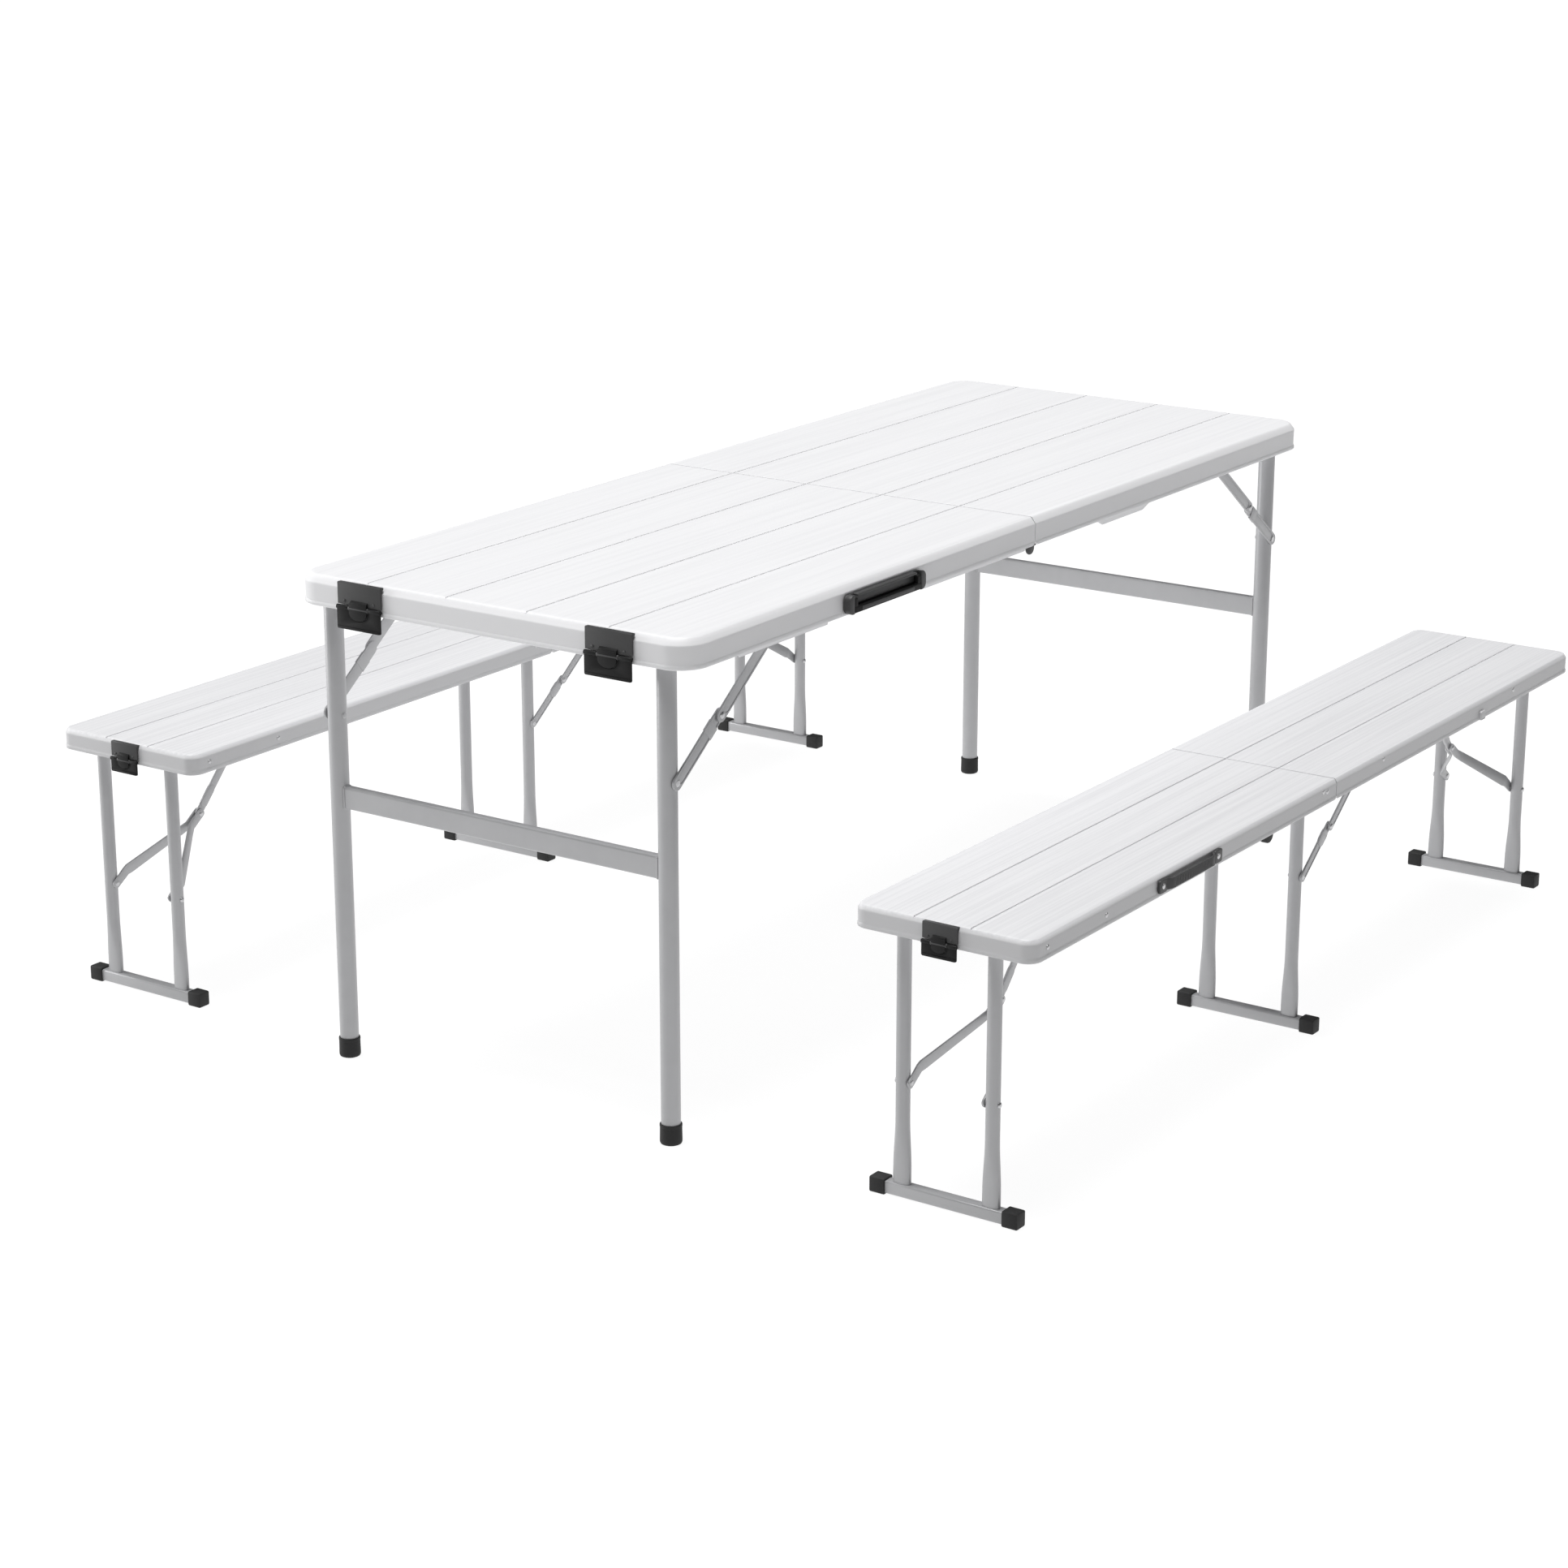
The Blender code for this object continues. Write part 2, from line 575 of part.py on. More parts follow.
def make_strut_arm(name, size, x, side, face, material, group):
    """Flat bar from a leg's inner face to the middle joint, bent parallel at both ends."""
    pivot = pivot_height(size)
    inboard = -side
    rise = size["strut_drop"] - size["strut_mid_down"]
    length = math.hypot(size["strut_mid_in"], rise)
    leg_inner = leg_y(size) - size["leg_radius"] - LAYER_GAP
    tip_low, tip_high = strut_tip()
    overhang = size["strut_width"] / 2
    straight = size["strut_straight"]
    inner_side = [(-overhang, leg_inner - LINK_THICKNESS), (straight, leg_inner - LINK_THICKNESS),
                  (length - straight, tip_low), (length + overhang, tip_low)]
    outer_side = [(length + overhang, tip_high), (length - straight, tip_high),
                  (straight, leg_inner), (-overhang, leg_inner)]
    outline = [(along, face * across) for along, across in inner_side + outer_side]
    body = Shell().prism(outline, "Z", -size["strut_width"] / 2, size["strut_width"] / 2)
    pin = Shell().cylinder("Y", (0.0, 0.0), size["link_pin"], face * (leg_inner - LINK_THICKNESS / 2),
                           face * (leg_y(size) + size["leg_radius"] + 0.001))
    angle = math.atan2(rise, inboard * size["strut_mid_in"])
    rivet = (x, 0.0, pivot - size["strut_drop"])
    place = Matrix.Translation(rivet) @ Matrix.Rotation(-angle, 4, "Y")
    for shell in (body, pin):
        bmesh.ops.transform(shell.bm, matrix=place, verts=shell.bm.verts)
    return make_piece(name, body, material, group, rivet, [("UNION", pin)])


def make_strut_link(name, size, x, side, material, group):
    """Link in the middle plane, from the strut arms' joint up to its bracket under the seat."""
    pivot = pivot_height(size)
    inboard = -side
    anchor = (x + inboard * size["strut_reach"], pivot)
    middle = (x + inboard * size["strut_mid_in"], pivot - size["strut_mid_down"])
    half = LINK_THICKNESS / 2
    reach = strut_tip()[1] + 0.001
    return make_link(name, anchor, middle, [(anchor, size["link_pin"], -reach, reach)],
                     size["strut_width"], (-half, half), material, group,
                     (anchor[0], 0.0, anchor[1]))


def make_bench(prefix, location, strap_side, materials):
    size = BENCH
    group = make_group(f"{prefix}_group", location)
    plastic, steel, black = materials["plastic"], materials["steel"], materials["black"]
    end, mid = leg_x(size), size["mid_leg_x"]
    tabs = [tuple(sorted((face * strut_tip()[0], face * strut_tip()[1]))) for face in (-1, 1)]
    near_brackets = [(-end + size["strut_reach"], *tab) for tab in tabs]
    far_brackets = [(end - size["strut_reach"], *tab) for tab in tabs]
    far_brackets.append((mid + size["stay_reach"], *bracket_range(size, -1)))
    make_top_half(f"{prefix}_seat_near", size, -1, [-end], near_brackets, plastic, group)
    make_top_half(f"{prefix}_seat_far", size, 1, [end, mid], far_brackets, plastic, group)
    for face, word in ((-1, "front"), (1, "back")):
        make_hinge_plate(f"{prefix}_hinge_{word}", size, face, steel, group)
    for side, word in ((-1, "near"), (1, "far")):
        x = side * end
        make_bench_frame(f"{prefix}_legs_{word}", size, x, 0, steel, group)
        for face, hand in ((-1, "front"), (1, "back")):
            make_strut_arm(f"{prefix}_strut_{word}_{hand}", size, x, side, face, steel, group)
        make_strut_link(f"{prefix}_strut_link_{word}", size, x, side, steel, group)
    make_bench_frame(f"{prefix}_legs_middle", size, mid, -1, steel, group)
    make_brace(f"{prefix}_stay", size, mid, -1, -1, size["stay_drop"], size["stay_reach"],
               size["stay_width"], steel, group)
    make_latch(f"{prefix}_latch", size, BENCH_LATCH, 0.0, black, group)
    make_strap(f"{prefix}_strap", size, STRAP, strap_side, black, group)


def make_table(materials):
    size = TABLE
    group = make_group("table_group", (0.0, 0.0, 0.0))
    plastic, steel, black = materials["plastic"], materials["steel"], materials["black"]
    for side, word in ((-1, "near"), (1, "far")):
        x = side * leg_x(size)
        anchor = x - side * size["brace_reach"]
        brackets = [(anchor, *bracket_range(size, face)) for face in (-1, 1)]
        keepers = [(face * latch_y(), LATCH) for face in (-1, 1)] if side > 0 else ()
        make_top_half(f"table_top_{word}", size, side, [x], brackets, plastic, group, keepers)
        make_table_frame(f"table_legs_{word}", size, side, steel, group)
        for face, hand in ((-1, "front"), (1, "back")):
            make_foot_cap(f"table_foot_{word}_{hand}", size, side, face, materials["rubber"], group)
            make_brace(f"table_brace_{word}_{hand}", size, x, side, face, size["brace_drop"],
                       size["brace_reach"], size["link_width"], steel, group)
    for face, word in ((-1, "front"), (1, "back")):
        make_hinge_plate(f"table_hinge_{word}", size, face, black, group)
        make_latch(f"table_latch_{word}", size, LATCH, face * latch_y(), black, group)
    make_handle(size, HANDLE, black, group)


def main():
    clear_scene()
    materials = {
        "plastic": make_material("white_plastic", (0.86, 0.86, 0.87), 0.5),
        "steel": make_material("painted_steel", (0.56, 0.56, 0.57), 0.4, 0.3),
        "black": make_material("black_plastic", (0.045, 0.045, 0.048), 0.5),
        "rubber": make_material("black_rubber", (0.03, 0.03, 0.03), 0.7),
    }
    make_table(materials)
    make_bench("front_bench", (0.0, -BENCH_Y, 0.0), -1, materials)
    make_bench("back_bench", (0.0, BENCH_Y, 0.0), 1, materials)


main()
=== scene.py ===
import math

import bmesh
import bpy
from mathutils import Matrix, Vector


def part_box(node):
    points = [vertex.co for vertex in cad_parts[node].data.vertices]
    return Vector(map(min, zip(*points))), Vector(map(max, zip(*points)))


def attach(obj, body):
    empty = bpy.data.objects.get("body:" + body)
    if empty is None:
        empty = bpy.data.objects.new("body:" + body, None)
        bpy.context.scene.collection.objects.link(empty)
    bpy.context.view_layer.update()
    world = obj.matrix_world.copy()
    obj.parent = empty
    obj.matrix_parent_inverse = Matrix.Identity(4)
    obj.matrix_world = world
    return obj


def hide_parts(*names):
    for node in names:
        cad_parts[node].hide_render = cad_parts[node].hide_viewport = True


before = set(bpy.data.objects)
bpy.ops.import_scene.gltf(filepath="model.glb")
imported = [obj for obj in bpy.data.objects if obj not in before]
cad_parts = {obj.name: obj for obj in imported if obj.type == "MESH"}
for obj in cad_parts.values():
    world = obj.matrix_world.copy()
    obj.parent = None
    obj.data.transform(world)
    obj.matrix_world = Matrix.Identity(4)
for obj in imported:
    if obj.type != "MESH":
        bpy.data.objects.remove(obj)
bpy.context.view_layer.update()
print("stage: frame loaded")

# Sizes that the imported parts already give, so that nothing here is measured twice.
tableLow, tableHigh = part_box("table_top_near")
benches = ("front_bench", "back_bench")
benchY = {name: sum(corner.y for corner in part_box(f"{name}_seat_far")) / 2 for name in benches}
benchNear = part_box("front_bench_seat_near")
clearance = 0.0003
ends = ((-1, "near"), (1, "far"))
hands = ((-1, "front"), (1, "back"))


# Node trees, for materials and for repeated shapes.
class Wire:
    # A socket that can stand in an arithmetic expression.
    def __init__(self, tree, socket):
        self.tree = tree
        self.socket = socket

    def join(self, operation, first, second):
        return self.tree.add("ShaderNodeMath", {"operation": operation}, {0: first, 1: second})

    def __add__(self, other):
        return self.join("ADD", self, other)

    __radd__ = __add__

    def __sub__(self, other):
        return self.join("SUBTRACT", self, other)

    def __rsub__(self, other):
        return self.join("SUBTRACT", other, self)

    def __mul__(self, other):
        return self.join("MULTIPLY", self, other)

    __rmul__ = __mul__


class Tree:
    def __init__(self, tree):
        self.tree = tree

    def add(self, kind, settings=None, sockets=None, output=0):
        node = self.tree.nodes.new(kind)
        for key, value in (settings or {}).items():
            if key == "stops":
                for stop, (place, shade) in zip(node.color_ramp.elements, value):
                    stop.position = place
                    stop.color = (shade, shade, shade, 1.0)
            else:
                setattr(node, key, value)
        for key, value in (sockets or {}).items():
            if isinstance(value, Wire):
                self.tree.links.new(value.socket, node.inputs[key])
            else:
                node.inputs[key].default_value = value
        return Wire(self, node.outputs[output])


def startMaterial(name, roughness, metallic, **others):
    material = bpy.data.materials.new(name)
    material.use_nodes = True
    tree = Tree(material.node_tree)
    shader = material.node_tree.nodes["Principled BSDF"]
    shader.inputs["Roughness"].default_value = roughness
    shader.inputs["Metallic"].default_value = metallic
    for key, value in others.items():
        shader.inputs[key.replace("_", " ")].default_value = value
    return material, tree, shader


def noise(tree, place, stretch, detail, distortion=0.0):
    mapped = tree.add("ShaderNodeMapping", {}, {"Vector": place, "Scale": stretch})
    return tree.add("ShaderNodeTexNoise", {}, {"Vector": mapped, "Scale": 1.0, "Detail": detail,
                                               "Roughness": 0.55, "Distortion": distortion})


def evenNoise(tree, place, scale, detail):
    return noise(tree, place, (scale, scale, scale), detail)


def blendColours(tree, share, first, second):
    return tree.add("ShaderNodeMix", {"data_type": "RGBA"}, {0: share, 6: first, 7: second}, 2)


def link(tree, wire, shader, key):
    tree.tree.links.new(wire.socket, shader.inputs[key])


def linkBump(tree, shader, strength, height):
    bump = tree.add("ShaderNodeBump", {}, {"Strength": strength, "Distance": 1.0, "Height": height})
    link(tree, bump, shader, "Normal")


# rim: colour of the rim faces below the top, darker as painted shade for the less lit sides
plasticLook = dict(light=(0.895, 0.895, 0.907, 1), dark=(0.815, 0.815, 0.83, 1), streak=(2.4, 120, 120),
                   rim=(0.80, 0.80, 0.812, 1), fineStreak=(9, 420, 420), cloud=3, grain=900,
                   streakBump=0.00022, grainBump=0.00004, rimStart=0.006, faceEnd=0.002)


def makePlastic(name, top, look):
    # The brushed streaks run along the top face only; the rims are smooth with a fine grain.
    # The rims' darker colour is painted shade for the sides, which get less light than the top.
    material, tree, shader = startMaterial(name, 0.42, 0.0)
    place = tree.add("ShaderNodeTexCoord", {}, {}, 3)
    split = tree.add("ShaderNodeSeparateXYZ", {}, {"Vector": place}, 2)
    face = tree.add("ShaderNodeMapRange", {}, {"Value": split, "From Min": top - look["rimStart"],
                                               "From Max": top - look["faceEnd"]})
    streak = noise(tree, place, look["streak"], 5, 0.2)
    fine = noise(tree, place, look["fineStreak"], 3)
    cloud = evenNoise(tree, place, look["cloud"], 2)
    grain = evenNoise(tree, place, look["grain"], 2)
    mask = tree.add("ShaderNodeValToRGB", {"stops": ((0.34, 0.0), (0.62, 1.0))}, {0: streak})
    light = mask * 0.55 + fine * 0.30 + cloud * 0.15
    brushed = blendColours(tree, light, look["dark"], look["light"])
    # painted shade: below the top face the colour blends to the darker rim colour
    link(tree, blendColours(tree, face - (1 - cloud) * 0.04, look["rim"], brushed), shader, "Base Color")
    link(tree, 0.48 - face * fine * 0.12 + grain * 0.04, shader, "Roughness")
    height = face * (streak * 0.6 + fine * 0.4) * look["streakBump"] + grain * look["grainBump"]
    linkBump(tree, shader, 0.6, height)
    return material


steelLook = dict(light=(0.510, 0.512, 0.522, 1), dark=(0.415, 0.417, 0.427, 1), peel=420, spot=45,
                 cloud=7, peelBump=0.00006)


def makeSteel(name="paintedSteel", look=steelLook, roughness=0.34, metallic=0.18):
    material, tree, shader = startMaterial(name, roughness, metallic)
    place = tree.add("ShaderNodeTexCoord", {}, {}, 3)
    peel = evenNoise(tree, place, look["peel"], 3)
    spot = evenNoise(tree, place, look["spot"], 4)
    cloud = evenNoise(tree, place, look["cloud"], 2)
    colour = blendColours(tree, cloud * 0.5 + spot * 0.5, look["dark"], look["light"])
    link(tree, colour, shader, "Base Color")
    link(tree, roughness - 0.06 + spot * 0.10 + peel * 0.05, shader, "Roughness")
    linkBump(tree, shader, 0.5, peel * look["peelBump"])
    return material


def makeBlack(name, light, dark, roughness, grain, grainBump, gloss=0.4):
    material, tree, shader = startMaterial(name, roughness, 0.0, Specular_IOR_Level=gloss)
    place = tree.add("ShaderNodeTexCoord", {}, {}, 3)
    grainNoise = evenNoise(tree, place, grain, 3)
    cloud = evenNoise(tree, place, 18, 3)
    colour = blendColours(tree, cloud * 0.6 + grainNoise * 0.4, (dark, dark, dark * 1.02, 1),
                          (light, light, light * 1.02, 1))
    link(tree, colour, shader, "Base Color")
    link(tree, roughness - 0.05 + grainNoise * 0.12, shader, "Roughness")
    linkBump(tree, shader, 0.7, grainNoise * grainBump)
    return material


tablePlastic = makePlastic("tablePlastic", tableHigh.z, plasticLook)
# The bench rim colour is darker still: painted shade on the bench sides.
benchPlasticLook = dict(plasticLook, streak=(2.0, 190, 190), light=(0.765, 0.765, 0.777, 1),
                        dark=(0.640, 0.640, 0.655, 1), rim=(0.590, 0.590, 0.600, 1))
benchPlastic = makePlastic("benchPlastic", benchNear[1].z, benchPlasticLook)
steel = makeSteel()
zincLook = dict(light=(0.66, 0.66, 0.67, 1), dark=(0.50, 0.50, 0.51, 1), peel=600, spot=120, cloud=20,
                peelBump=0.00003)
zinc = makeSteel("brightRivet", zincLook, 0.30, 0.75)
black = makeBlack("blackPlastic", 0.062, 0.036, 0.46, 650, 0.00020)
darkBlack = makeBlack("flapPlastic", 0.016, 0.009, 0.55, 650, 0.00020, 0.2)
webbing = makeBlack("strapPlastic", 0.080, 0.040, 0.55, 380, 0.0003)
rubber = makeBlack("blackRubber", 0.024, 0.013, 0.66, 300, 0.0002)
print("stage: materials made")


# Shapes. A Solid gathers closed volumes and finishes as one piece on one body.
sharpAngle = math.radians(28)


def place3(axis, a, b, c):
    return {"X": (c, a, b), "Y": (a, c, b), "Z": (a, b, c)}[axis]


def arc(centreA, centreB, radius, start, end, steps):
    turn = (end - start) / steps
    return [(centreA + radius * math.cos(start + turn * i), centreB + radius * math.sin(start + turn * i))
            for i in range(steps + 1)]


def roundRect(lowA, highA, lowB, highB, radius, steps=5):
    lowA, highA = sorted((lowA, highA))
    lowB, highB = sorted((lowB, highB))
    points = []
    for cornerA, cornerB, start in ((highA - radius, lowB + radius, -90), (highA - radius, highB - radius, 0),
                                    (lowA + radius, highB - radius, 90), (lowA + radius, lowB + radius, 180)):
        points += arc(cornerA, cornerB, radius, math.radians(start), math.radians(start + 90), steps)
    return points


def stadium(start, end, radius, steps=10):
    angle = math.atan2(end[1] - start[1], end[0] - start[0])
    quarter = math.pi / 2
    return (arc(*end, radius, angle - quarter, angle + quarter, steps)
            + arc(*start, radius, angle + quarter, angle + 3 * quarter, steps))


def addObject(name, data):
    obj = bpy.data.objects.new(name, data)
    bpy.context.scene.collection.objects.link(obj)
    return obj


class Solid:
    def __init__(self):
        self.bm = bmesh.new()

    def loft(self, rings, closed=False):
        loops = [[self.bm.verts.new(point) for point in ring] for ring in rings]
        pairs = list(zip(loops, loops[1:]))
        if closed:
            pairs.append((loops[-1], loops[0]))
        count = len(loops[0])
        for low, high in pairs:
            for i in range(count):
                j = (i + 1) % count
                self.bm.faces.new((low[i], low[j], high[j], high[i]))
        if not closed:
            self.bm.faces.new(list(reversed(loops[0])))
            self.bm.faces.new(loops[-1])
        return self

    def plate(self, outline, axis, low, high, bevel=0.0):
        # A flat piece of any outline; its two faces step in by the bevel.
        low, high = min(low, high), max(low, high)
        if bevel <= 0:
            return self.loft([[place3(axis, a, b, c) for a, b in outline] for c in (low, high)])
        inner = insetOutline(outline, bevel)
        step = bevel * 0.3
        half = insetOutline(outline, step)
        levels = ((inner, low), (half, low + step), (outline, low + bevel), (outline, high - bevel),
                  (half, high - step), (inner, high))
        return self.loft([[place3(axis, a, b, c) for a, b in ring] for ring, c in levels])

    def block(self, x, y, z, bevel=0.0008, corner=0.0015, axis="Z"):
        spans = {"X": (y, z, x), "Y": (x, z, y), "Z": (x, y, z)}[axis]
        (lowA, highA), (lowB, highB), (low, high) = [sorted(span) for span in spans]
        corner = min(corner, (highA - lowA) * 0.49, (highB - lowB) * 0.49)
        return self.plate(roundRect(lowA, highA, lowB, highB, corner, 3), axis, low, high, bevel)

    def lathe(self, axis, centre, profile, steps=28):
        # The profile is (radius, height) pairs from one end to the other.
        rings = []
        for radius, height in profile:
            rings.append([place3(axis, centre[0] + radius * math.cos(2 * math.pi * i / steps),
                                 centre[1] + radius * math.sin(2 * math.pi * i / steps), height)
                          for i in range(steps)])
        return self.loft(rings)

    def rod(self, axis, centre, radius, low, high, bevel=0.0006, steps=24):
        low, high = min(low, high), max(low, high)
        step = bevel * 0.3
        profile = ((radius - bevel, low), (radius - step, low + step), (radius, low + bevel),
                   (radius, high - bevel), (radius - step, high - step), (radius - bevel, high))
        return self.lathe(axis, centre, profile, steps)

    def mesh(self, name):
        bmesh.ops.recalc_face_normals(self.bm, faces=self.bm.faces)
        data = bpy.data.meshes.new(name)
        self.bm.to_mesh(data)
        self.bm.free()
        return data

    def finish(self, name, material, body, replaced=()):
        return finishPiece(addObject(name, self.mesh(name)), material, body, replaced)


def insetOutline(outline, amount):
    count = len(outline)
    area = sum(outline[i][0] * outline[(i + 1) % count][1] - outline[(i + 1) % count][0] * outline[i][1]
               for i in range(count))
    sign = 1 if area > 0 else -1
    result = []
    for i in range(count):
        before, here, after = (Vector(outline[i - 1]), Vector(outline[i]), Vector(outline[(i + 1) % count]))
        first, second = here - before, after - here
        if first.length < 1e-9:
            first = second
        if second.length < 1e-9:
            second = first
        first.normalize()
        second.normalize()
        normal = Vector((-(first.y + second.y), first.x + second.x)) * sign
        if normal.length < 1e-6:
            normal = Vector((-first.y, first.x)) * sign
        normal.normalize()
        turn = max(0.4, normal.dot(Vector((-first.y, first.x)) * sign))
        moved = here + normal * (amount / turn)
        result.append((moved.x, moved.y))
    return result


def finishPiece(obj, material, body, replaced=()):
    obj.data.materials.clear()
    obj.data.materials.append(material)
    obj.data.shade_smooth()
    obj.data.set_sharp_from_angle(angle=sharpAngle)
    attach(obj, body)
    if replaced:
        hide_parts(*replaced)
    return obj


def cutAway(obj, cutter):
    tool = addObject("cutter", cutter.mesh("cutter"))
    modifier = obj.modifiers.new("cut", "BOOLEAN")
    modifier.operation = "DIFFERENCE"
    modifier.solver = "EXACT"
    modifier.use_self = True
    modifier.object = tool
    bakeModifiers(obj)
    bpy.data.objects.remove(tool, do_unlink=True)


def bakeModifiers(obj):
    bpy.context.view_layer.update()
    evaluated = obj.evaluated_get(bpy.context.evaluated_depsgraph_get())
    result = bpy.data.meshes.new_from_object(evaluated)
    obj.modifiers.clear()
    obj.data = result


# Geometry Nodes for what repeats.
def startGeometry(name, inputs):
    group = bpy.data.node_groups.new(name, "GeometryNodeTree")
    group.interface.new_socket(name="Geometry", in_out="INPUT", socket_type="NodeSocketGeometry")
    keys = {}
    for label, kind in inputs:
        item = group.interface.new_socket(name=label, in_out="INPUT", socket_type=f"NodeSocket{kind}")
        keys[label] = item.identifier
    group.interface.new_socket(name="Geometry", in_out="OUTPUT", socket_type="NodeSocketGeometry")
    tree = Tree(group)
    entry = group.nodes.new("NodeGroupInput")
    sockets = {label: Wire(tree, entry.outputs[label]) for label, kind in inputs}
    sockets["Geometry"] = Wire(tree, entry.outputs["Geometry"])
    return group, tree, sockets, keys


def endGeometry(group, tree, shape):
    real = tree.add("GeometryNodeRealizeInstances", {}, {"Geometry": shape})
    painted = tree.add("GeometryNodeSetMaterial", {}, {"Geometry": real})
    leave = group.nodes.new("NodeGroupOutput")
    group.links.new(painted.socket, leave.inputs["Geometry"])
    return painted.socket.node  # the node that takes the material


def makeDomeTree():
    # A low dome on every point: heads of rivets and screws.
    group, tree, given, keys = startGeometry("domeHeads", (("Radius", "Float"), ("Height", "Float"),
                                                           ("Turn", "Vector")))
    ball = tree.add("GeometryNodeMeshUVSphere", {}, {"Segments": 20, "Rings": 10, "Radius": given["Radius"]})
    share = tree.add("ShaderNodeMath", {"operation": "DIVIDE"}, {0: given["Height"], 1: given["Radius"]})
    flat = tree.add("ShaderNodeCombineXYZ", {}, {"X": 1.0, "Y": 1.0, "Z": share})
    heads = tree.add("GeometryNodeInstanceOnPoints", {}, {"Points": given["Geometry"], "Instance": ball,
                                                          "Rotation": given["Turn"], "Scale": flat})
    return group, keys, endGeometry(group, tree, heads)


def makeRibTree():
    # A box repeated along one direction on every point.
    group, tree, given, keys = startGeometry("ribRow", (("Size", "Vector"), ("Step", "Vector"),
                                                        ("Count", "Int")))
    box = tree.add("GeometryNodeMeshCube", {}, {"Size": given["Size"]})
    row = tree.add("GeometryNodeMeshLine", {"mode": "OFFSET"}, {"Count": given["Count"],
                                                                "Offset": given["Step"]})
    line = tree.add("GeometryNodeInstanceOnPoints", {}, {"Points": row, "Instance": box})
    grown = tree.add("GeometryNodeRealizeInstances", {}, {"Geometry": line})
    rows = tree.add("GeometryNodeInstanceOnPoints", {}, {"Points": given["Geometry"], "Instance": grown})
    return group, keys, endGeometry(group, tree, rows)


domeTree = makeDomeTree()
ribTree = makeRibTree()


def runTree(name, recipe, values, points, material, body):
    group, keys, painter = recipe
    painter.inputs["Material"].default_value = material
    data = bpy.data.meshes.new(name)
    data.from_pydata([tuple(point) for point in points], [], [])
    obj = addObject(name, data)
    modifier = obj.modifiers.new("nodes", "NODES")
    modifier.node_group = group
    for label, value in values.items():
        modifier[keys[label]] = value
    bakeModifiers(obj)
    return finishPiece(obj, material, body)


headTurns = {"X": (0.0, math.pi / 2, 0.0), "Y": (math.pi / 2, 0.0, 0.0), "Z": (0.0, 0.0, 0.0)}


def rivets(name, axis, points, radius, height, body, material=None):
    return runTree(name, domeTree, {"Radius": radius, "Height": height, "Turn": headTurns[axis]}, points,
                   material or zinc, body)


def ribs(name, points, size, step, count, material, body):
    return runTree(name, ribTree, {"Size": size, "Step": step, "Count": count}, points, material, body)


print("stage: shape tools ready")


# Tops and seats.
tableTop = dict(skin=0.006, wall=0.005, corner=0.045, shoulder=0.012, band=0.0105, bead=0.0014, rim=0.044,
                grooves=4, edgePlank=0.137, grooveWidth=0.0032, grooveDepth=0.0030, offset=0.012,
                pin=0.004, plate=0.016, inset=0.0048, ribHeight=0.0026, ribWidth=0.005, ribs=6,
                knuckle=0.0105, tab=0.0095, finish=tablePlastic)
benchTop = dict(skin=0.005, wall=0.0045, corner=0.022, shoulder=0.006, band=0.0062, bead=0.0009, rim=0.032,
                grooves=2, edgePlank=0.0965, grooveWidth=0.0028, grooveDepth=0.0026, offset=0.009,
                pin=0.003, plate=0.0085, inset=0.0048, ribHeight=0.0014, ribWidth=0.0035, ribs=6,
                legRadius=0.010, middleLeg=0.018, legY=0.07, room=0.0015, knuckle=0, tab=0.0085,
                finish=benchPlastic)
seamGap = 0.0008
tableSpan = dict(length=1.80, width=-tableLow.y * 2, top=tableHigh.z, y=0.0)
plateThickness = 0.003


def benchSpan(name):
    return dict(length=-benchNear[0].x * 2, width=benchNear[1].y - benchNear[0].y, top=benchNear[1].z,
                y=benchY[name])


def rimProfile(size):
    # (inset from the outer edge, drop below the top face), from the inner edge round to the top
    rim, band, bead, shoulder = size["rim"], size["band"], size["bead"], size["shoulder"]
    wall = size["wall"]
    face = bead * 0.75
    steps = [(wall, size["skin"], wall), (wall, rim - 0.0012, wall), (wall - 0.0012, rim, wall - 0.0012),
             (0.0018, rim, 0.0), (0.0005, rim - 0.0007, 0.0), (0.0, rim - 0.0019, 0.0),
             (0.0, rim - 0.0046, 0.0), (bead * 0.5, rim - 0.0060, 0.0), (bead, rim - 0.0069, 0.0),
             (bead, rim - 0.0085, 0.0), (face, band + 0.0030, 0.0), (face, band + 0.0004, 0.0),
             (face + 0.0004, band - 0.0006, 0.0), (face + 0.0011, band - 0.0014, 0.0)]
    steps += [(shoulder * 0.64, band * 0.16, 0.0001), (shoulder * 0.76, band * 0.075, 0.0003),
              (shoulder * 0.90, band * 0.018, 0.0006), (shoulder, 0.0, 0.0010),
              (shoulder + 0.004, 0.0, 0.0030)]
    return steps


def halfRing(size, span, side, inset, seam):
    far = span["length"] / 2 - inset
    edge = span["width"] / 2 - inset
    radius = max(size["corner"] - inset, 0.001)
    start = seamGap / 2 + 0.0005 + seam
    points = [(start, -edge)]
    points += arc(far - radius, -edge + radius, radius, -math.pi / 2, 0.0, 12)
    points += arc(far - radius, edge - radius, radius, 0.0, math.pi / 2, 12)
    points.append((start, edge))
    return [(side * x, span["y"] + y) for x, y in points]


def hingeHeight(size, span):
    return span["top"] - size["rim"] + size["offset"] - 0.0005


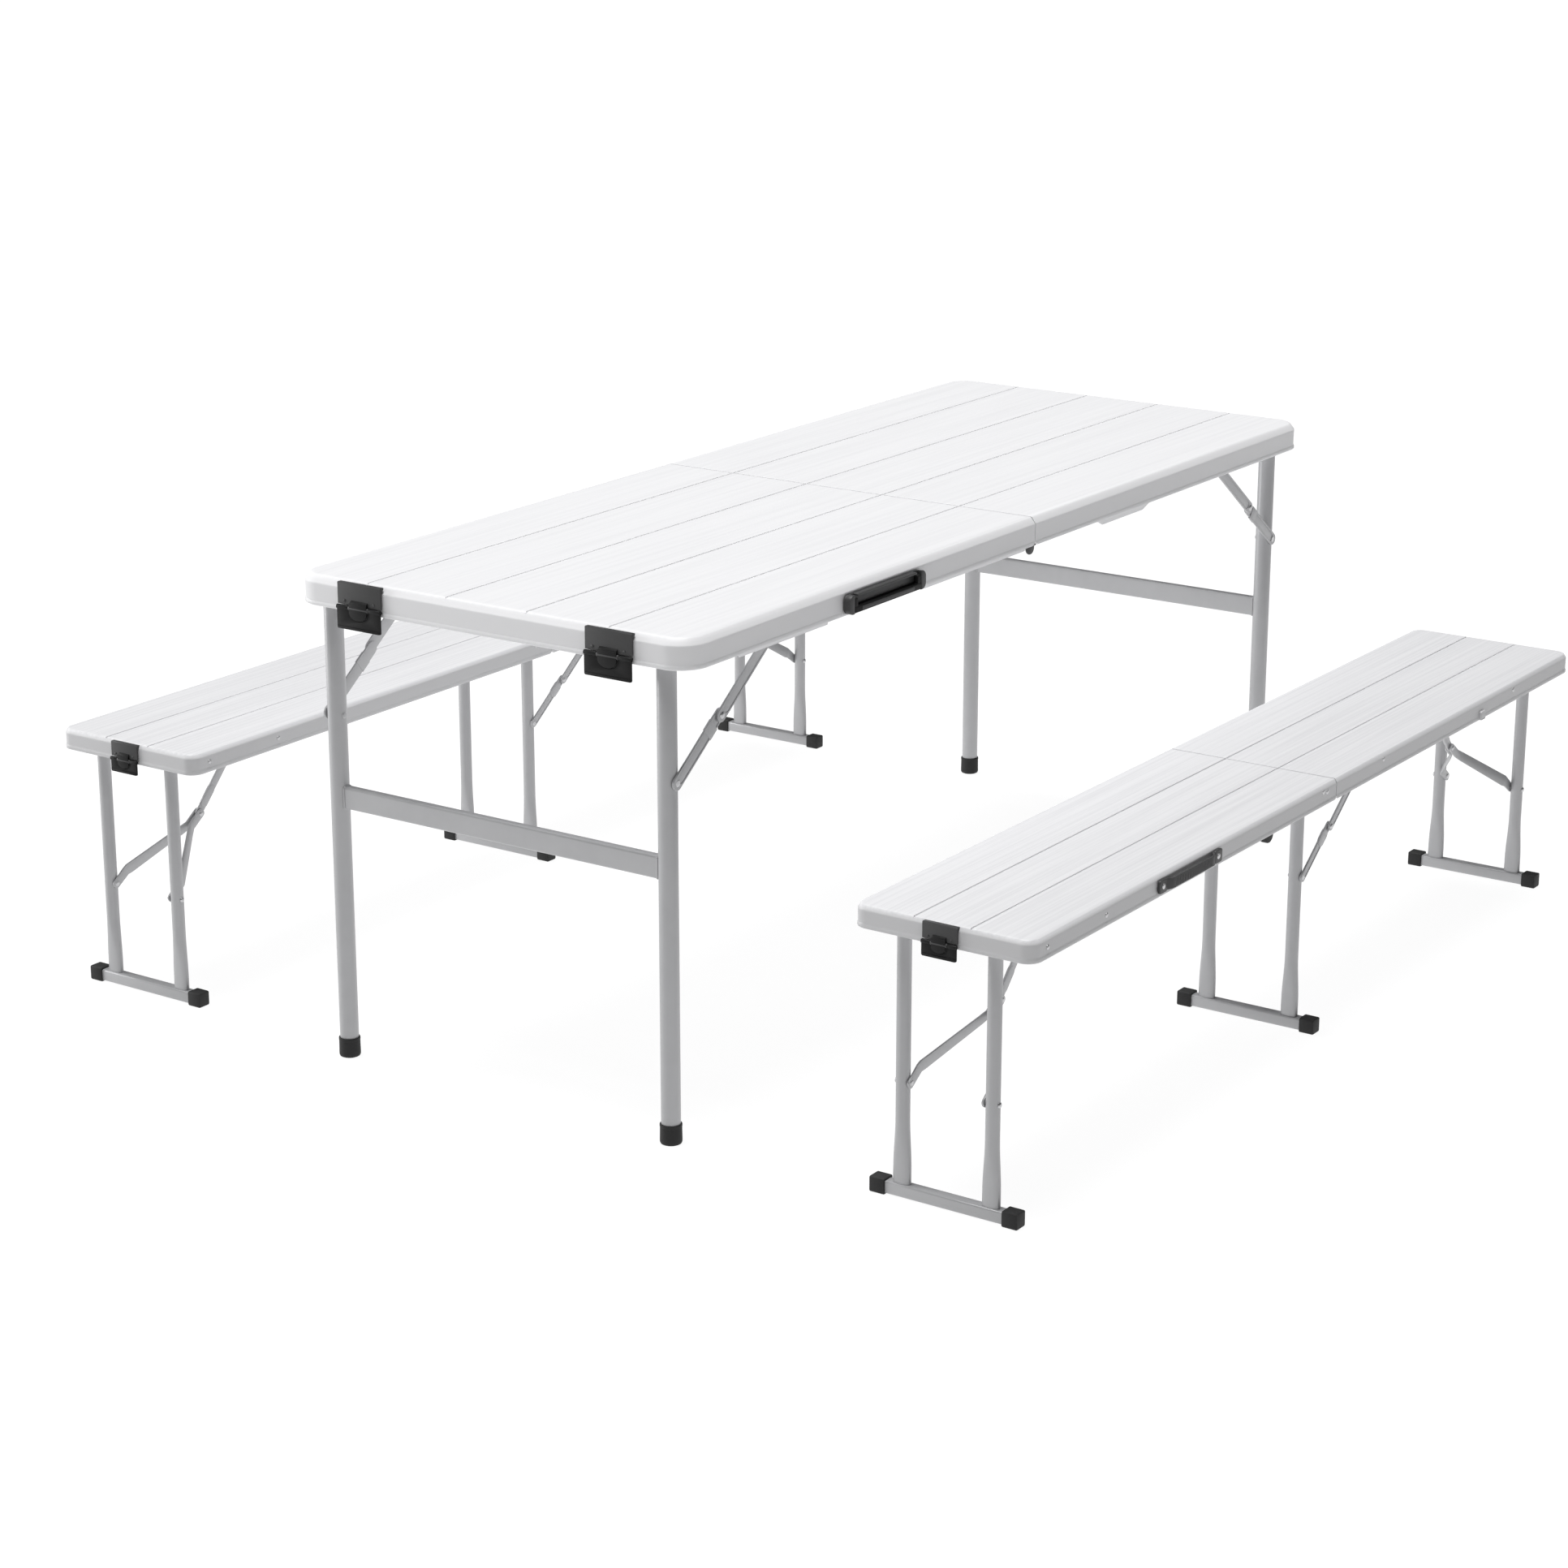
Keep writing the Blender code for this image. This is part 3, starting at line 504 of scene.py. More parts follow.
def seamCutter(size, span, side):
    # Grooves between the planks, and what the hinges and the folding need at the seam.
    cutter = Solid()
    top, y0 = span["top"], span["y"]
    half, depth = size["grooveWidth"] / 2, size["grooveDepth"]
    outer = span["width"] / 2 - size["edgePlank"]
    for i in range(size["grooves"]):
        y = y0 - outer + 2 * outer * i / (size["grooves"] - 1)
        profile = [(y + half, top + 0.002), (y + half, top), (y + half * 0.72, top - depth * 0.35),
                   (y + half * 0.36, top - depth * 0.86), (y, top - depth),
                   (y - half * 0.36, top - depth * 0.86), (y - half * 0.72, top - depth * 0.35),
                   (y - half, top), (y - half, top + 0.002)]
        run = sorted((-side * 0.002, side * (span["length"] / 2 - size["shoulder"] * 0.35)))
        cutter.loft([[(x, a, b) for a, b in profile] for x in run])
    axis = hingeHeight(size, span)
    pocket = size["plate"] + 0.003
    inner = span["width"] / 2 - size["wall"]
    low = top - size["rim"] - 0.001
    for face in (-1, 1):
        y = sorted((y0 + face * (inner - 2 * size["inset"] - plateThickness), y0 + face * inner))
        x = sorted((-side * 0.002, side * (size["offset"] + pocket)))
        z = (low, min(axis + pocket, top - size["skin"]))
        cutter.plate([(x[0], y[0]), (x[1], y[0]), (x[1], y[1]), (x[0], y[1])], "Z", *z)
    pinX = side * (size["offset"] + seamGap / 2)
    outline = [(-side * 0.002, axis - size["offset"] - 0.004), (-side * 0.002, axis)]
    outline += [(pinX - side * size["offset"] * math.cos(math.pi / 2 * i / 12),
                 axis - size["offset"] * math.sin(math.pi / 2 * i / 12)) for i in range(13)]
    outline.append((pinX, axis - size["offset"] - 0.004))
    cutter.plate(outline, "Y", y0 - span["width"], y0 + span["width"])
    if side < 0 and "middleLeg" in size:
        reach = size["legRadius"] + size["room"]
        height = axis + size["legRadius"] - (size["middleLeg"] - size["offset"]) + size["room"]
        for y in (y0 - size["legY"], y0 + size["legY"]):
            cutter.plate([(-2 * size["wall"], y - reach), (0.002, y - reach), (0.002, y + reach),
                          (-2 * size["wall"], y + reach)], "Z", low, height)
    return cutter


def makeTop(node, body, size, span, side):
    shell = Solid()
    shell.loft([[(x, y, span["top"] - drop) for x, y in halfRing(size, span, side, inset, seam)]
                for inset, drop, seam in rimProfile(size)])
    obj = addObject(f"{node}_shell", shell.mesh(node))
    cutAway(obj, seamCutter(size, span, side))
    finishPiece(obj, size["finish"], body, [node])
    under = span["top"] - size["skin"]
    margin = size["wall"] + 0.004
    reach = span["length"] / 2 - margin - size["corner"]
    start = size["offset"] + size["plate"] + 0.012
    gap = (reach - start) / (size["ribs"] - 1)
    height = size["ribHeight"]
    first = side * start if side > 0 else -reach
    ribs(f"{node}_cross_ribs", [(first, span["y"], under - height / 2 + 0.0002)],
         (size["ribWidth"], span["width"] - 2 * margin, height), (gap, 0, 0), size["ribs"], size["finish"],
         body)
    outer = span["width"] / 2 - size["edgePlank"]
    pitch = 2 * outer / (size["grooves"] - 1)
    ribs(f"{node}_long_ribs", [(side * (start + reach) / 2, span["y"] - outer, under - height / 2 + 0.0002)],
         (reach - start, size["ribWidth"] * 1.6, height), (0, pitch, 0), size["grooves"], size["finish"],
         body)
    return obj


def makeFittings(node, body, size, span, side, rods, tabs, cradle, rod):
    # Saddles that hold the leg rods, steel tabs that hold the braces, and hinge pins in the wall.
    under = span["top"] - size["skin"]
    y0 = span["y"]
    saddle = Solid()
    pivot = rod["z"]
    half = rod["radius"] + 0.005
    for x in rods:
        for face in (-1, 1):
            y = [y0 + face * (cradle["y"] + cradle["width"] * share) for share in (-0.5, 0.5)]
            outline = ([(x + half + 0.006, under + 0.002), (x + half, under - 0.004)]
                       + list(reversed(arc(x, pivot, half, -math.pi, 0.0, 14)))
                       + [(x - half, under - 0.004), (x - half - 0.006, under + 0.002)])
            saddle.plate(outline, "Y", y[0], y[1], 0.0008)
    saddle.finish(f"{node}_saddles", size["finish"], body)
    bracket = Solid()
    width = size["tab"]
    for x, low, high in tabs:
        outline = ([(x + width, under + 0.002)] + list(reversed(arc(x, pivot, width, -math.pi, 0.0, 12)))
                   + [(x - width, under + 0.002)])
        bracket.plate(outline, "Y", low, high, 0.0004)
        bracket.block((x - width - 0.010, x + width + 0.010), (low - 0.004, high + 0.004),
                      (under - 0.0018, under + 0.001), 0.0004, 0.003)
    bracket.finish(f"{node}_tabs", steel, body)
    pins = Solid()
    inner = span["width"] / 2 - size["wall"]
    for face in (-1, 1):
        pins.rod("Y", (side * size["offset"], hingeHeight(size, span)), size["pin"],
                 y0 + face * (inner + size["wall"] / 2),
                 y0 + face * (inner - size["inset"] - plateThickness - 0.001), 0.0004)
    pins.finish(f"{node}_hinge_pins", zinc, body)


tableRod = dict(z=0.711, radius=0.005)
benchRod = dict(z=0.3915, radius=0.004)
tableCradle = dict(y=0.261, width=0.022)
benchCradle = dict(y=0.043, width=0.014)
tableLegs = dict(x=0.874, y=0.295, radius=0.014, above=0.008, foot=0.0043, barDrop=0.3075, barHeight=0.033,
                 barDepth=0.015)
tableBrace = dict(drop=0.184, reach=0.245, width=0.020, pin=0.004, collar=0.022)
layerGap = 0.0006


def braceLayers(outer):
    lower = outer + layerGap
    upper = lower + plateThickness + layerGap
    tab = upper + plateThickness + layerGap
    return lower, upper, tab


def makeTableTops():
    tabLow = braceLayers(tableLegs["y"] + tableLegs["radius"])[2]
    for side, word in ends:
        node, body = f"table_top_{word}", f"table_{word}_half"
        makeTop(node, body, tableTop, tableSpan, side)
        x = side * tableLegs["x"]
        anchor = x - side * tableBrace["reach"]
        tabs = [(anchor, *sorted((face * tabLow, face * (tabLow + plateThickness)))) for face in (-1, 1)]
        makeFittings(node, body, tableTop, tableSpan, side, [x], tabs, tableCradle, tableRod)


rimTongues = dict(strips=((-0.7745, -0.560), (-0.309, -0.022)), stripDrop=0.0050, tab=(0.200, 0.377),
                  tabDrop=0.0105, tabRun=0.020, thickness=0.0022)


def makeTongues():
    # Tongues that stand down inside the long rims; the wider one has sloped ends.
    size = rimTongues
    low = tableSpan["top"] - tableTop["rim"]
    inner = tableSpan["width"] / 2 - tableTop["wall"]
    near, far = Solid(), Solid()
    thick = size["thickness"]
    for face in (-1, 1):
        clear = face * (inner - clearance)
        wall = face * (inner + 0.001)
        for start, end in size["strips"]:
            strip = roundRect(start, end, low - size["stripDrop"], low + 0.010, 0.0015, 3)
            near.plate(strip, "Y", clear - face * thick, clear, 0.0005)
            near.block((start + 0.004, end - 0.004), (clear - face * thick * 0.5, wall),
                       (low + 0.006, low + 0.009))
        start, end = size["tab"]
        run = size["tabRun"]
        back = clear - face * (thick + 0.0006)
        outline = [(start, low + 0.012), (start, low - 0.001), (start + run, low - size["tabDrop"]),
                   (end - run * 1.4, low - size["tabDrop"]), (end, low - 0.001), (end, low + 0.012)]
        far.plate(outline, "Y", back - face * thick, back, 0.0005)
        far.block((start + 0.004, end - 0.004), (back - face * thick * 0.5, wall),
                  (low + 0.0075, low + 0.011))
    near.finish("table_near_tongues", tablePlastic, "table_near_half")
    far.finish("table_far_tongues", tablePlastic, "table_far_half")


keeperSize = dict(width=0.070, low=0.026, height=0.004, reach=0.0078, root=0.003, y=0.220)


def makeKeepers():
    size = keeperSize
    low = tableSpan["top"] - tableTop["rim"] + size["low"]
    end = tableSpan["length"] / 2
    lips = Solid()
    for face in (-1, 1):
        y = face * size["y"]
        lips.block((end - size["root"], end + size["reach"]), (y - size["width"] / 2, y + size["width"] / 2),
                   (low, low + size["height"]), 0.0010, 0.003)
    lips.finish("table_far_latch_lips", tablePlastic, "table_far_half")


makeTableTops()
makeTongues()
makeKeepers()
print("stage: table top made")


# Table legs, feet and braces.
footCap = dict(radius=0.016, height=0.030, floor=0.004)


def tubeProfile(radius, low, high):
    return ((radius * 0.86, low), (radius * 0.97, low + 0.0006), (radius, low + 0.002),
            (radius, high - 0.0030), (radius * 0.96, high - 0.0012), (radius * 0.84, high - 0.0003),
            (radius * 0.60, high))


def capProfile():
    # A hollow cap that the leg stands in, with a lip round its open end.
    radius, height, floor = footCap["radius"], footCap["height"], footCap["floor"]
    bore = tableLegs["radius"] + clearance
    return [(0.004, 0.0012), (radius * 0.55, 0.0002), (radius * 0.80, 0.0), (radius * 0.93, 0.0010),
            (radius * 0.99, 0.0030), (radius, 0.0055), (radius * 0.985, height * 0.6),
            (radius * 0.98, height - 0.0045), (radius, height - 0.0040), (radius, height - 0.0010),
            (radius - 0.0006, height), (bore, height), (bore, floor), (0.003, floor)]


def makeTableLegs():
    size = tableLegs
    for side, word in ends:
        x = side * size["x"]
        body = f"table_{word}_legs"
        legs = Solid()
        top = tableRod["z"] + size["above"]
        for face in (-1, 1):
            legs.lathe("Z", (x, face * size["y"]), tubeProfile(size["radius"], size["foot"], top), 36)
        legs.finish(f"{body}_tubes", steel, body, [f"table_legs_{word}"])
        bars = Solid()
        middle = tableRod["z"] - size["barDrop"]
        deep, tall = size["barDepth"] / 2, size["barHeight"] / 2
        bars.plate(roundRect(x - deep, x + deep, middle - tall, middle + tall, 0.0035, 5), "Y",
                   -size["y"] + 0.004, size["y"] - 0.004)
        bars.rod("Y", (x, tableRod["z"]), tableRod["radius"], -size["y"] + 0.004, size["y"] - 0.004)
        bars.finish(f"{body}_crossbar", steel, body)
        beads = Solid()
        for face in (-1, 1):
            edge = face * (size["y"] - size["radius"])
            beads.plate(roundRect(x - 0.0085, x + 0.0085, middle - 0.0175, middle + 0.0175, 0.004, 4), "Y",
                        edge + face * 0.002, edge - face * 0.0012, 0.0005)
        beads.finish(f"{body}_weld_beads", steel, body)
        for face, hand in hands:
            cap = Solid().lathe("Z", (x, face * size["y"]), capProfile(), 36)
            cap.finish(f"table_cap_{word}_{hand}", rubber, body, [f"table_foot_{word}_{hand}"])


def toggle(drop, reach):
    straight = math.hypot(drop, reach)
    lower = (straight - (reach - drop)) / 2
    share = lower / straight
    return reach * share, drop * (1 - share)


def along(start, end, share):
    return (start[0] + (end[0] - start[0]) * share, start[1] + (end[1] - start[1]) * share)


def linkPlate(solid, start, end, width, depth, face, y0=0.0):
    # A flat bar with round ends, pressed so that its border stands up round a lower web.
    outer, back = face * (depth + plateThickness), face * depth
    web = outer - face * 0.0007
    solid.plate(stadium(start, end, width / 2), "Y", y0 + back, y0 + web, 0.0004)
    a, b = along(start, end, 0.075), along(start, end, 0.925)
    ring = stadium(start, end, width / 2), stadium(a, b, width * 0.34)
    levels = ((ring[0], web - face * 0.0006), (ring[0], outer - face * 0.0004),
              (insetOutline(ring[0], 0.0005), outer), (insetOutline(ring[1], -0.0005), outer),
              (ring[1], outer - face * 0.0004), (ring[1], web - face * 0.0006))
    solid.loft([[(x, y0 + level, z) for x, z in outline] for outline, level in levels], True)


def makeTableBraces():
    size = tableBrace
    lower, upper, tab = braceLayers(tableLegs["y"] + tableLegs["radius"])
    midIn, midDown = toggle(size["drop"], size["reach"])
    for side, word in ends:
        x = side * tableLegs["x"]
        pivot = tableRod["z"]
        rivet = (x, pivot - size["drop"])
        middle = (x - side * midIn, pivot - midDown)
        anchor = (x - side * size["reach"], pivot)
        for face, hand in hands:
            name = f"table_brace_{word}_{hand}"
            bar = Solid()
            linkPlate(bar, rivet, middle, size["width"], lower, face)
            bar.rod("Y", rivet, size["pin"], face * (tableLegs["y"] - tableLegs["radius"] - 0.001),
                    face * (lower + 0.001))
            # lock collar folded round the lower bar, just below the middle joint
            a, b = along(rivet, middle, 0.70), along(rivet, middle, 0.86)
            runX, runZ = b[0] - a[0], b[1] - a[1]
            long, half = math.dist(a, b), size["collar"] / 2
            collar = [(a[0] + runX * u - runZ / long * v, a[1] + runZ * u + runX / long * v)
                      for u, v in ((0, -half), (1, -half), (1, half), (0, half))]
            bar.plate(collar, "Y", face * (lower - 0.0004), face * (lower + plateThickness + 0.0004), 0.0004)
            bar.finish(f"{name}_lower_bar", steel, f"table_{word}_lower_links", [f"{name}_lower_link"])
            bar = Solid()
            linkPlate(bar, anchor, middle, size["width"], upper, face)
            bar.rod("Y", anchor, size["pin"], face * (upper + 0.001), face * (tab + plateThickness + 0.001))
            bar.finish(f"{name}_upper_bar", steel, f"table_{word}_upper_links", [f"{name}_upper_link"])
            rivets(f"{name}_middle_rivet", "Y", [(middle[0], face * (upper + plateThickness), middle[1])],
                   0.0052, 0.0024, f"table_{word}_upper_links")
            rivets(f"{name}_top_rivet", "Y", [(anchor[0], face * (tab + plateThickness), anchor[1])], 0.0050,
                   0.0022, f"table_{word}_upper_links")
            sides = (lower + plateThickness, tableLegs["y"] - tableLegs["radius"])
            rivets(f"{name}_leg_rivet", "Y", [(rivet[0], face * y, rivet[1]) for y in sides], 0.0048, 0.0004,
                   f"table_{word}_lower_links")


makeTableLegs()
makeTableBraces()
print("stage: table legs and braces made")


# Seats, bench legs and their struts.
benchLegs = dict(x=0.847, middle=0.018, y=0.07, radius=0.010, above=0.006, flatTop=0.115, flatEnd=0.042,
                 flatWidth=0.0135, flatDepth=0.006, barHalf=0.104, barDepth=0.018, barLow=0.002, barTop=0.020,
                 capFrom=0.092, capTo=0.116, capSize=0.023)
strut = dict(drop=0.225, reach=0.250, midIn=0.127, midDown=0.13349, width=0.014, straight=0.025, pin=0.003)
stay = dict(drop=0.150, reach=0.200, width=0.014, pin=0.003)
tipStart = plateThickness / 2 + layerGap + clearance


def ease(share):
    return share * share * (3 - 2 * share)


def benchTube(x, y):
    size = benchLegs
    rings = []
    heights = [size["barLow"] + 0.004, 0.012, size["flatEnd"]]
    heights += [size["flatEnd"] + (size["flatTop"] - size["flatEnd"]) * i / 8 for i in range(1, 9)]
    top = benchRod["z"] + size["above"]
    heights += [top - 0.003, top - 0.0012, top - 0.0003, top]
    for z in heights:
        share = ease(min(1, max(0, (z - size["flatEnd"]) / (size["flatTop"] - size["flatEnd"]))))
        wide = size["flatWidth"] + (size["radius"] - size["flatWidth"]) * share
        deep = size["flatDepth"] + (size["radius"] - size["flatDepth"]) * share
        close = {top - 0.0012: 0.96, top - 0.0003: 0.84, top: 0.6}.get(z, 1.0)
        power = 0.72 + 0.28 * share
        ring = []
        for i in range(28):
            a = 2 * math.pi * i / 28
            ca, sa = math.cos(a), math.sin(a)
            ring.append((x + close * deep * math.copysign(abs(ca) ** power, ca),
                         y + close * wide * math.copysign(abs(sa) ** power, sa), z))
        rings.append(ring)
    return rings


def makeBenchLegs(bench, word, x, y0):
    size = benchLegs
    body = f"{bench}_{word}_legs"
    tubes = Solid()
    for face in (-1, 1):
        tubes.loft(benchTube(x, y0 + face * size["y"]))
    tubes.finish(f"{body}_tubes", steel, body, [f"{bench}_legs_{word}"])
    bar = Solid()
    half = size["barDepth"] / 2
    bar.plate(roundRect(x - half, x + half, size["barLow"], size["barTop"], 0.0025, 4), "Y",
              y0 - size["barHalf"], y0 + size["barHalf"], 0.0004)
    bar.rod("Y", (x, benchRod["z"]), benchRod["radius"], y0 - size["y"] + 0.003, y0 + size["y"] - 0.003)
    bar.finish(f"{body}_foot_bar", steel, body)
    caps = Solid()
    cap = size["capSize"]
    for face in (-1, 1):
        low, high = sorted((y0 + face * size["capFrom"], y0 + face * size["capTo"]))
        caps.plate(roundRect(x - cap / 2, x + cap / 2, 0.0, cap, 0.0028, 4), "Y", low, high, 0.0016)
    caps.finish(f"{body}_end_caps", rubber, body)
    if word == "middle":
        heads = [(x, y0 + size["y"] + size["radius"], benchRod["z"] - stay["drop"])]
        rivets(f"{body}_rivets", "Y", heads, 0.0036, 0.0016, body)
    else:
        heads = [(x, y0 + face * (size["y"] + size["radius"]), benchRod["z"] - strut["drop"])
                 for face in (-1, 1)]
        rivets(f"{body}_rivets", "Y", heads, 0.0042, 0.0024, body)


def makeStruts(bench, word, side, y0):
    x = side * benchLegs["x"]
    pivot = benchRod["z"]
    rise = strut["drop"] - strut["midDown"]
    length = math.hypot(strut["midIn"], rise)
    legInner = benchLegs["y"] - benchLegs["radius"] - layerGap
    tipLow, tipHigh = tipStart, tipStart + plateThickness
    over, straight = strut["width"] / 2, strut["straight"]
    # (distance along the arm, share of the step inwards, height as a share of the width)
    stations = ((-over, 0, 0.25), (-over * 0.92, 0, 0.62), (-over * 0.7, 0, 0.86), (-over * 0.35, 0, 0.97),
                (0, 0, 1), (straight, 0, 1.12), (straight + 0.006, 0.04, 1.34),
                (length - straight - 0.012, 0.90, 1.10), (length - straight, 1, 1), (length, 1, 1),
                (length + over * 0.35, 1, 0.97), (length + over * 0.7, 1, 0.86),
                (length + over * 0.92, 1, 0.62), (length + over, 1, 0.25))
    angle = math.atan2(rise, -side * strut["midIn"])
    turn = Matrix.Translation((x, y0, pivot - strut["drop"])) @ Matrix.Rotation(-angle, 4, "Y")
    for face, hand in hands:
        name = f"{bench}_strut_{word}_{hand}"
        arm = Solid()
        rings = []
        for run, share, tall in stations:
            inner = legInner - plateThickness + (tipLow - legInner + plateThickness) * share
            high = over * tall
            section = roundRect(face * inner, face * (inner + plateThickness), -high, high, 0.0006, 2)
            rings.append([(run, a, b) for a, b in section])
        arm.loft(rings)
        arm.rod("Y", (0.0, 0.0), strut["pin"], face * (legInner - plateThickness / 2),
                face * (benchLegs["y"] + benchLegs["radius"] + 0.001))
        bmesh.ops.transform(arm.bm, matrix=turn, verts=arm.bm.verts)
        arm.finish(f"{name}_bar", steel, f"{bench}_{word}_struts", [name])
        head = (x, y0 + face * (legInner - plateThickness), pivot - strut["drop"])
        rivets(f"{name}_head", "Y", [head], 0.0042, 0.0014, f"{bench}_{word}_struts")
    anchor = (x - side * strut["reach"], pivot)
    middle = (x - side * strut["midIn"], pivot - strut["midDown"])
    body = f"{bench}_{word}_strut_link"
    bar = Solid()
    bar.plate(stadium(anchor, middle, strut["width"] / 2), "Y", y0 - plateThickness / 2,
              y0 + plateThickness / 2, 0.0006)
    bar.rod("Y", anchor, strut["pin"], y0 - tipHigh - 0.001, y0 + tipHigh + 0.001)
    bar.rod("Y", middle, strut["pin"], y0 - tipHigh - 0.0006, y0 + tipHigh + 0.0006)
    # folded lock clip that holds the middle joint straight
    a, b = along(middle, anchor, 0.10), along(middle, anchor, 0.24)
    bar.plate(stadium(a, b, strut["width"] * 0.51, 8), "Y", y0 - plateThickness / 2 - 0.0006,
              y0 + plateThickness / 2 + 0.0006, 0.0005)
    bar.finish(f"{body}_bar", steel, body, [f"{bench}_strut_link_{word}"])
    heads = [(spot[0], y0 + face * tipHigh, spot[1]) for spot in (anchor, middle) for face in (-1, 1)]
    rivets(f"{body}_rivets", "Y", heads, 0.0044, 0.0022, body)


def makeStay(bench, y0):
    size = stay
    x, pivot = benchLegs["middle"], benchRod["z"]
    lower, upper, tab = braceLayers(benchLegs["y"] + benchLegs["radius"])
    midIn, midDown = toggle(size["drop"], size["reach"])
    rivet, anchor = (x, pivot - size["drop"]), (x + size["reach"], pivot)
    middle = (x + midIn, pivot - midDown)
    bar = Solid()
    linkPlate(bar, rivet, middle, size["width"], lower, -1, y0)
    bar.rod("Y", rivet, size["pin"], y0 - benchLegs["y"] + benchLegs["radius"] + 0.001, y0 - lower - 0.001)
    a, b = along(rivet, middle, 0.70), along(rivet, middle, 0.84)
    bar.plate(stadium(a, b, size["width"] * 0.60, 8), "Y", y0 - lower + 0.0004,
              y0 - lower - plateThickness - 0.0004, 0.0004)
    bar.finish(f"{bench}_stay_lower_bar", steel, f"{bench}_stay_lower", [f"{bench}_stay_lower_link"])
    bar = Solid()
    linkPlate(bar, anchor, middle, size["width"], upper, -1, y0)
    bar.rod("Y", anchor, size["pin"], y0 - upper - 0.001, y0 - tab - plateThickness - 0.001)
    bar.finish(f"{bench}_stay_upper_bar", steel, f"{bench}_stay_upper", [f"{bench}_stay_upper_link"])
    rivets(f"{bench}_stay_upper_rivets", "Y", [(middle[0], y0 - upper - plateThickness, middle[1]),
                                               (anchor[0], y0 - tab - plateThickness, anchor[1])],
           0.0044, 0.0022, f"{bench}_stay_upper")
    rivets(f"{bench}_stay_leg_rivet", "Y", [(rivet[0], y0 - lower - plateThickness, rivet[1])], 0.0042,
           0.0005, f"{bench}_stay_lower")


rimRivets = dict(near=((-0.8335, 0.394), (-0.681, 0.394), (-0.043, 0.4005), (-0.030, 0.3975)),
                 far=((0.1585, 0.4005), (0.638, 0.3985)), radius=0.0036, height=0.0016)
rimClip = dict(x=0.515, length=0.016, height=0.014, depth=0.0042, z=0.3857, ledge=0.0022, ledgeDepth=0.006)
rubberStop = dict(x=-0.203, radius=0.0125, depth=0.012, below=0.0135)


def makeSeats(bench):
    span = benchSpan(bench)
    y0 = span["y"]
    tabs = [sorted((face * tipStart, face * (tipStart + plateThickness))) for face in (-1, 1)]
    stayTab = braceLayers(benchLegs["y"] + benchLegs["radius"])[2]
    rimFace = span["width"] / 2 - benchTop["bead"] * 0.75
    for side, word in ends:
        node, body = f"{bench}_seat_{word}", f"{bench}_{word}_half"
        makeTop(node, body, benchTop, span, side)
        x = side * benchLegs["x"]
        anchor = x - side * strut["reach"]
        places = [(anchor, y0 + low, y0 + high) for low, high in tabs]
        rods = [x]
        if side > 0:
            rods.append(benchLegs["middle"])
            places.append((benchLegs["middle"] + stay["reach"], y0 - stayTab - plateThickness, y0 - stayTab))
        makeFittings(node, body, benchTop, span, side, rods, places, benchCradle, benchRod)
        heads = [(px, y0 + face * rimFace, pz) for face in (-1, 1) for px, pz in rimRivets[word]]
        rivets(f"{node}_rim_rivets", "Y", heads, rimRivets["radius"], rimRivets["height"], body)
    clip, face = rimClip, y0 - rimFace
    x = (clip["x"] - clip["length"] / 2, clip["x"] + clip["length"] / 2)
    low, high = clip["z"] - clip["height"] / 2, clip["z"] + clip["height"] / 2
    piece = Solid()
    piece.block(x, (face - clip["depth"], face + 0.001), (low, high), 0.0010, 0.0025, "Y")
    piece.block(x, (face - clip["depth"], face + clip["ledgeDepth"]), (low, low + clip["ledge"]), 0.0006,
                0.0020, "Y")
    piece.finish(f"{bench}_rim_clip", benchPlastic, f"{bench}_far_half")
    # rounded rubber stop inside the outer rim
    stop = rubberStop
    hand = -1 if y0 < 0 else 1
    inner = y0 + hand * (span["width"] / 2 - benchTop["wall"])
    drop = span["top"] - benchTop["rim"] - stop["below"]
    under = span["top"] - benchTop["skin"] + 0.001
    outline = ([(stop["x"] + stop["radius"], under)]
               + list(reversed(arc(stop["x"], drop + stop["radius"], stop["radius"], -math.pi, 0.0, 14)))
               + [(stop["x"] - stop["radius"], under)])
    Solid().plate(outline, "Y", inner - hand * 0.0004, inner - hand * stop["depth"], 0.0020).finish(
        f"{bench}_rubber_stop", rubber, f"{bench}_near_half")


for bench in benches:
    makeSeats(bench)
    for word, x in (("near", -benchLegs["x"]), ("middle", benchLegs["middle"]), ("far", benchLegs["x"])):
        makeBenchLegs(bench, word, x, benchY[bench])
    for word, side in (("near", -1), ("far", 1)):
        makeStruts(bench, word, side, benchY[bench])
    makeStay(bench, benchY[bench])
print("stage: benches made")


# Hinge plates at the seams.
def makeHinges(prefix, size, span, material, bodyName):
    y0 = span["y"]
    axis = hingeHeight(size, span)
    inner = span["width"] / 2 - size["wall"] - size["inset"]
    for face, word in hands:
        low, high = sorted((y0 + face * inner, y0 + face * (inner - plateThickness)))
        plate = Solid()
        plate.plate(stadium((-size["offset"], axis), (size["offset"], axis), size["plate"], 16), "Y", low,
                    high, 0.0006)
        plate.finish(f"{prefix}_hinge_plate_{word}", material, bodyName, [f"{prefix}_hinge_{word}"])
        outer = y0 + face * inner
        if size["knuckle"]:
            lobe = Solid()
            lobe.rod("Y", (0.0, axis - size["plate"] * 1.03), size["knuckle"], outer - face * 0.0030,
                     outer + face * 0.0020, 0.0020)
            lobe.finish(f"{prefix}_hinge_lobe_{word}", material, bodyName)
        heads = [(x, outer, axis) for x in (-size["offset"], size["offset"])]
        rivets(f"{prefix}_hinge_knuckle_{word}", "Y", heads, size["pin"] * 1.7, 0.0016, bodyName)


makeHinges("table", tableTop, tableSpan, black, "table_hinges")
for bench in benches:
    makeHinges(bench, benchTop, benchSpan(bench), steel, f"{bench}_hinges")


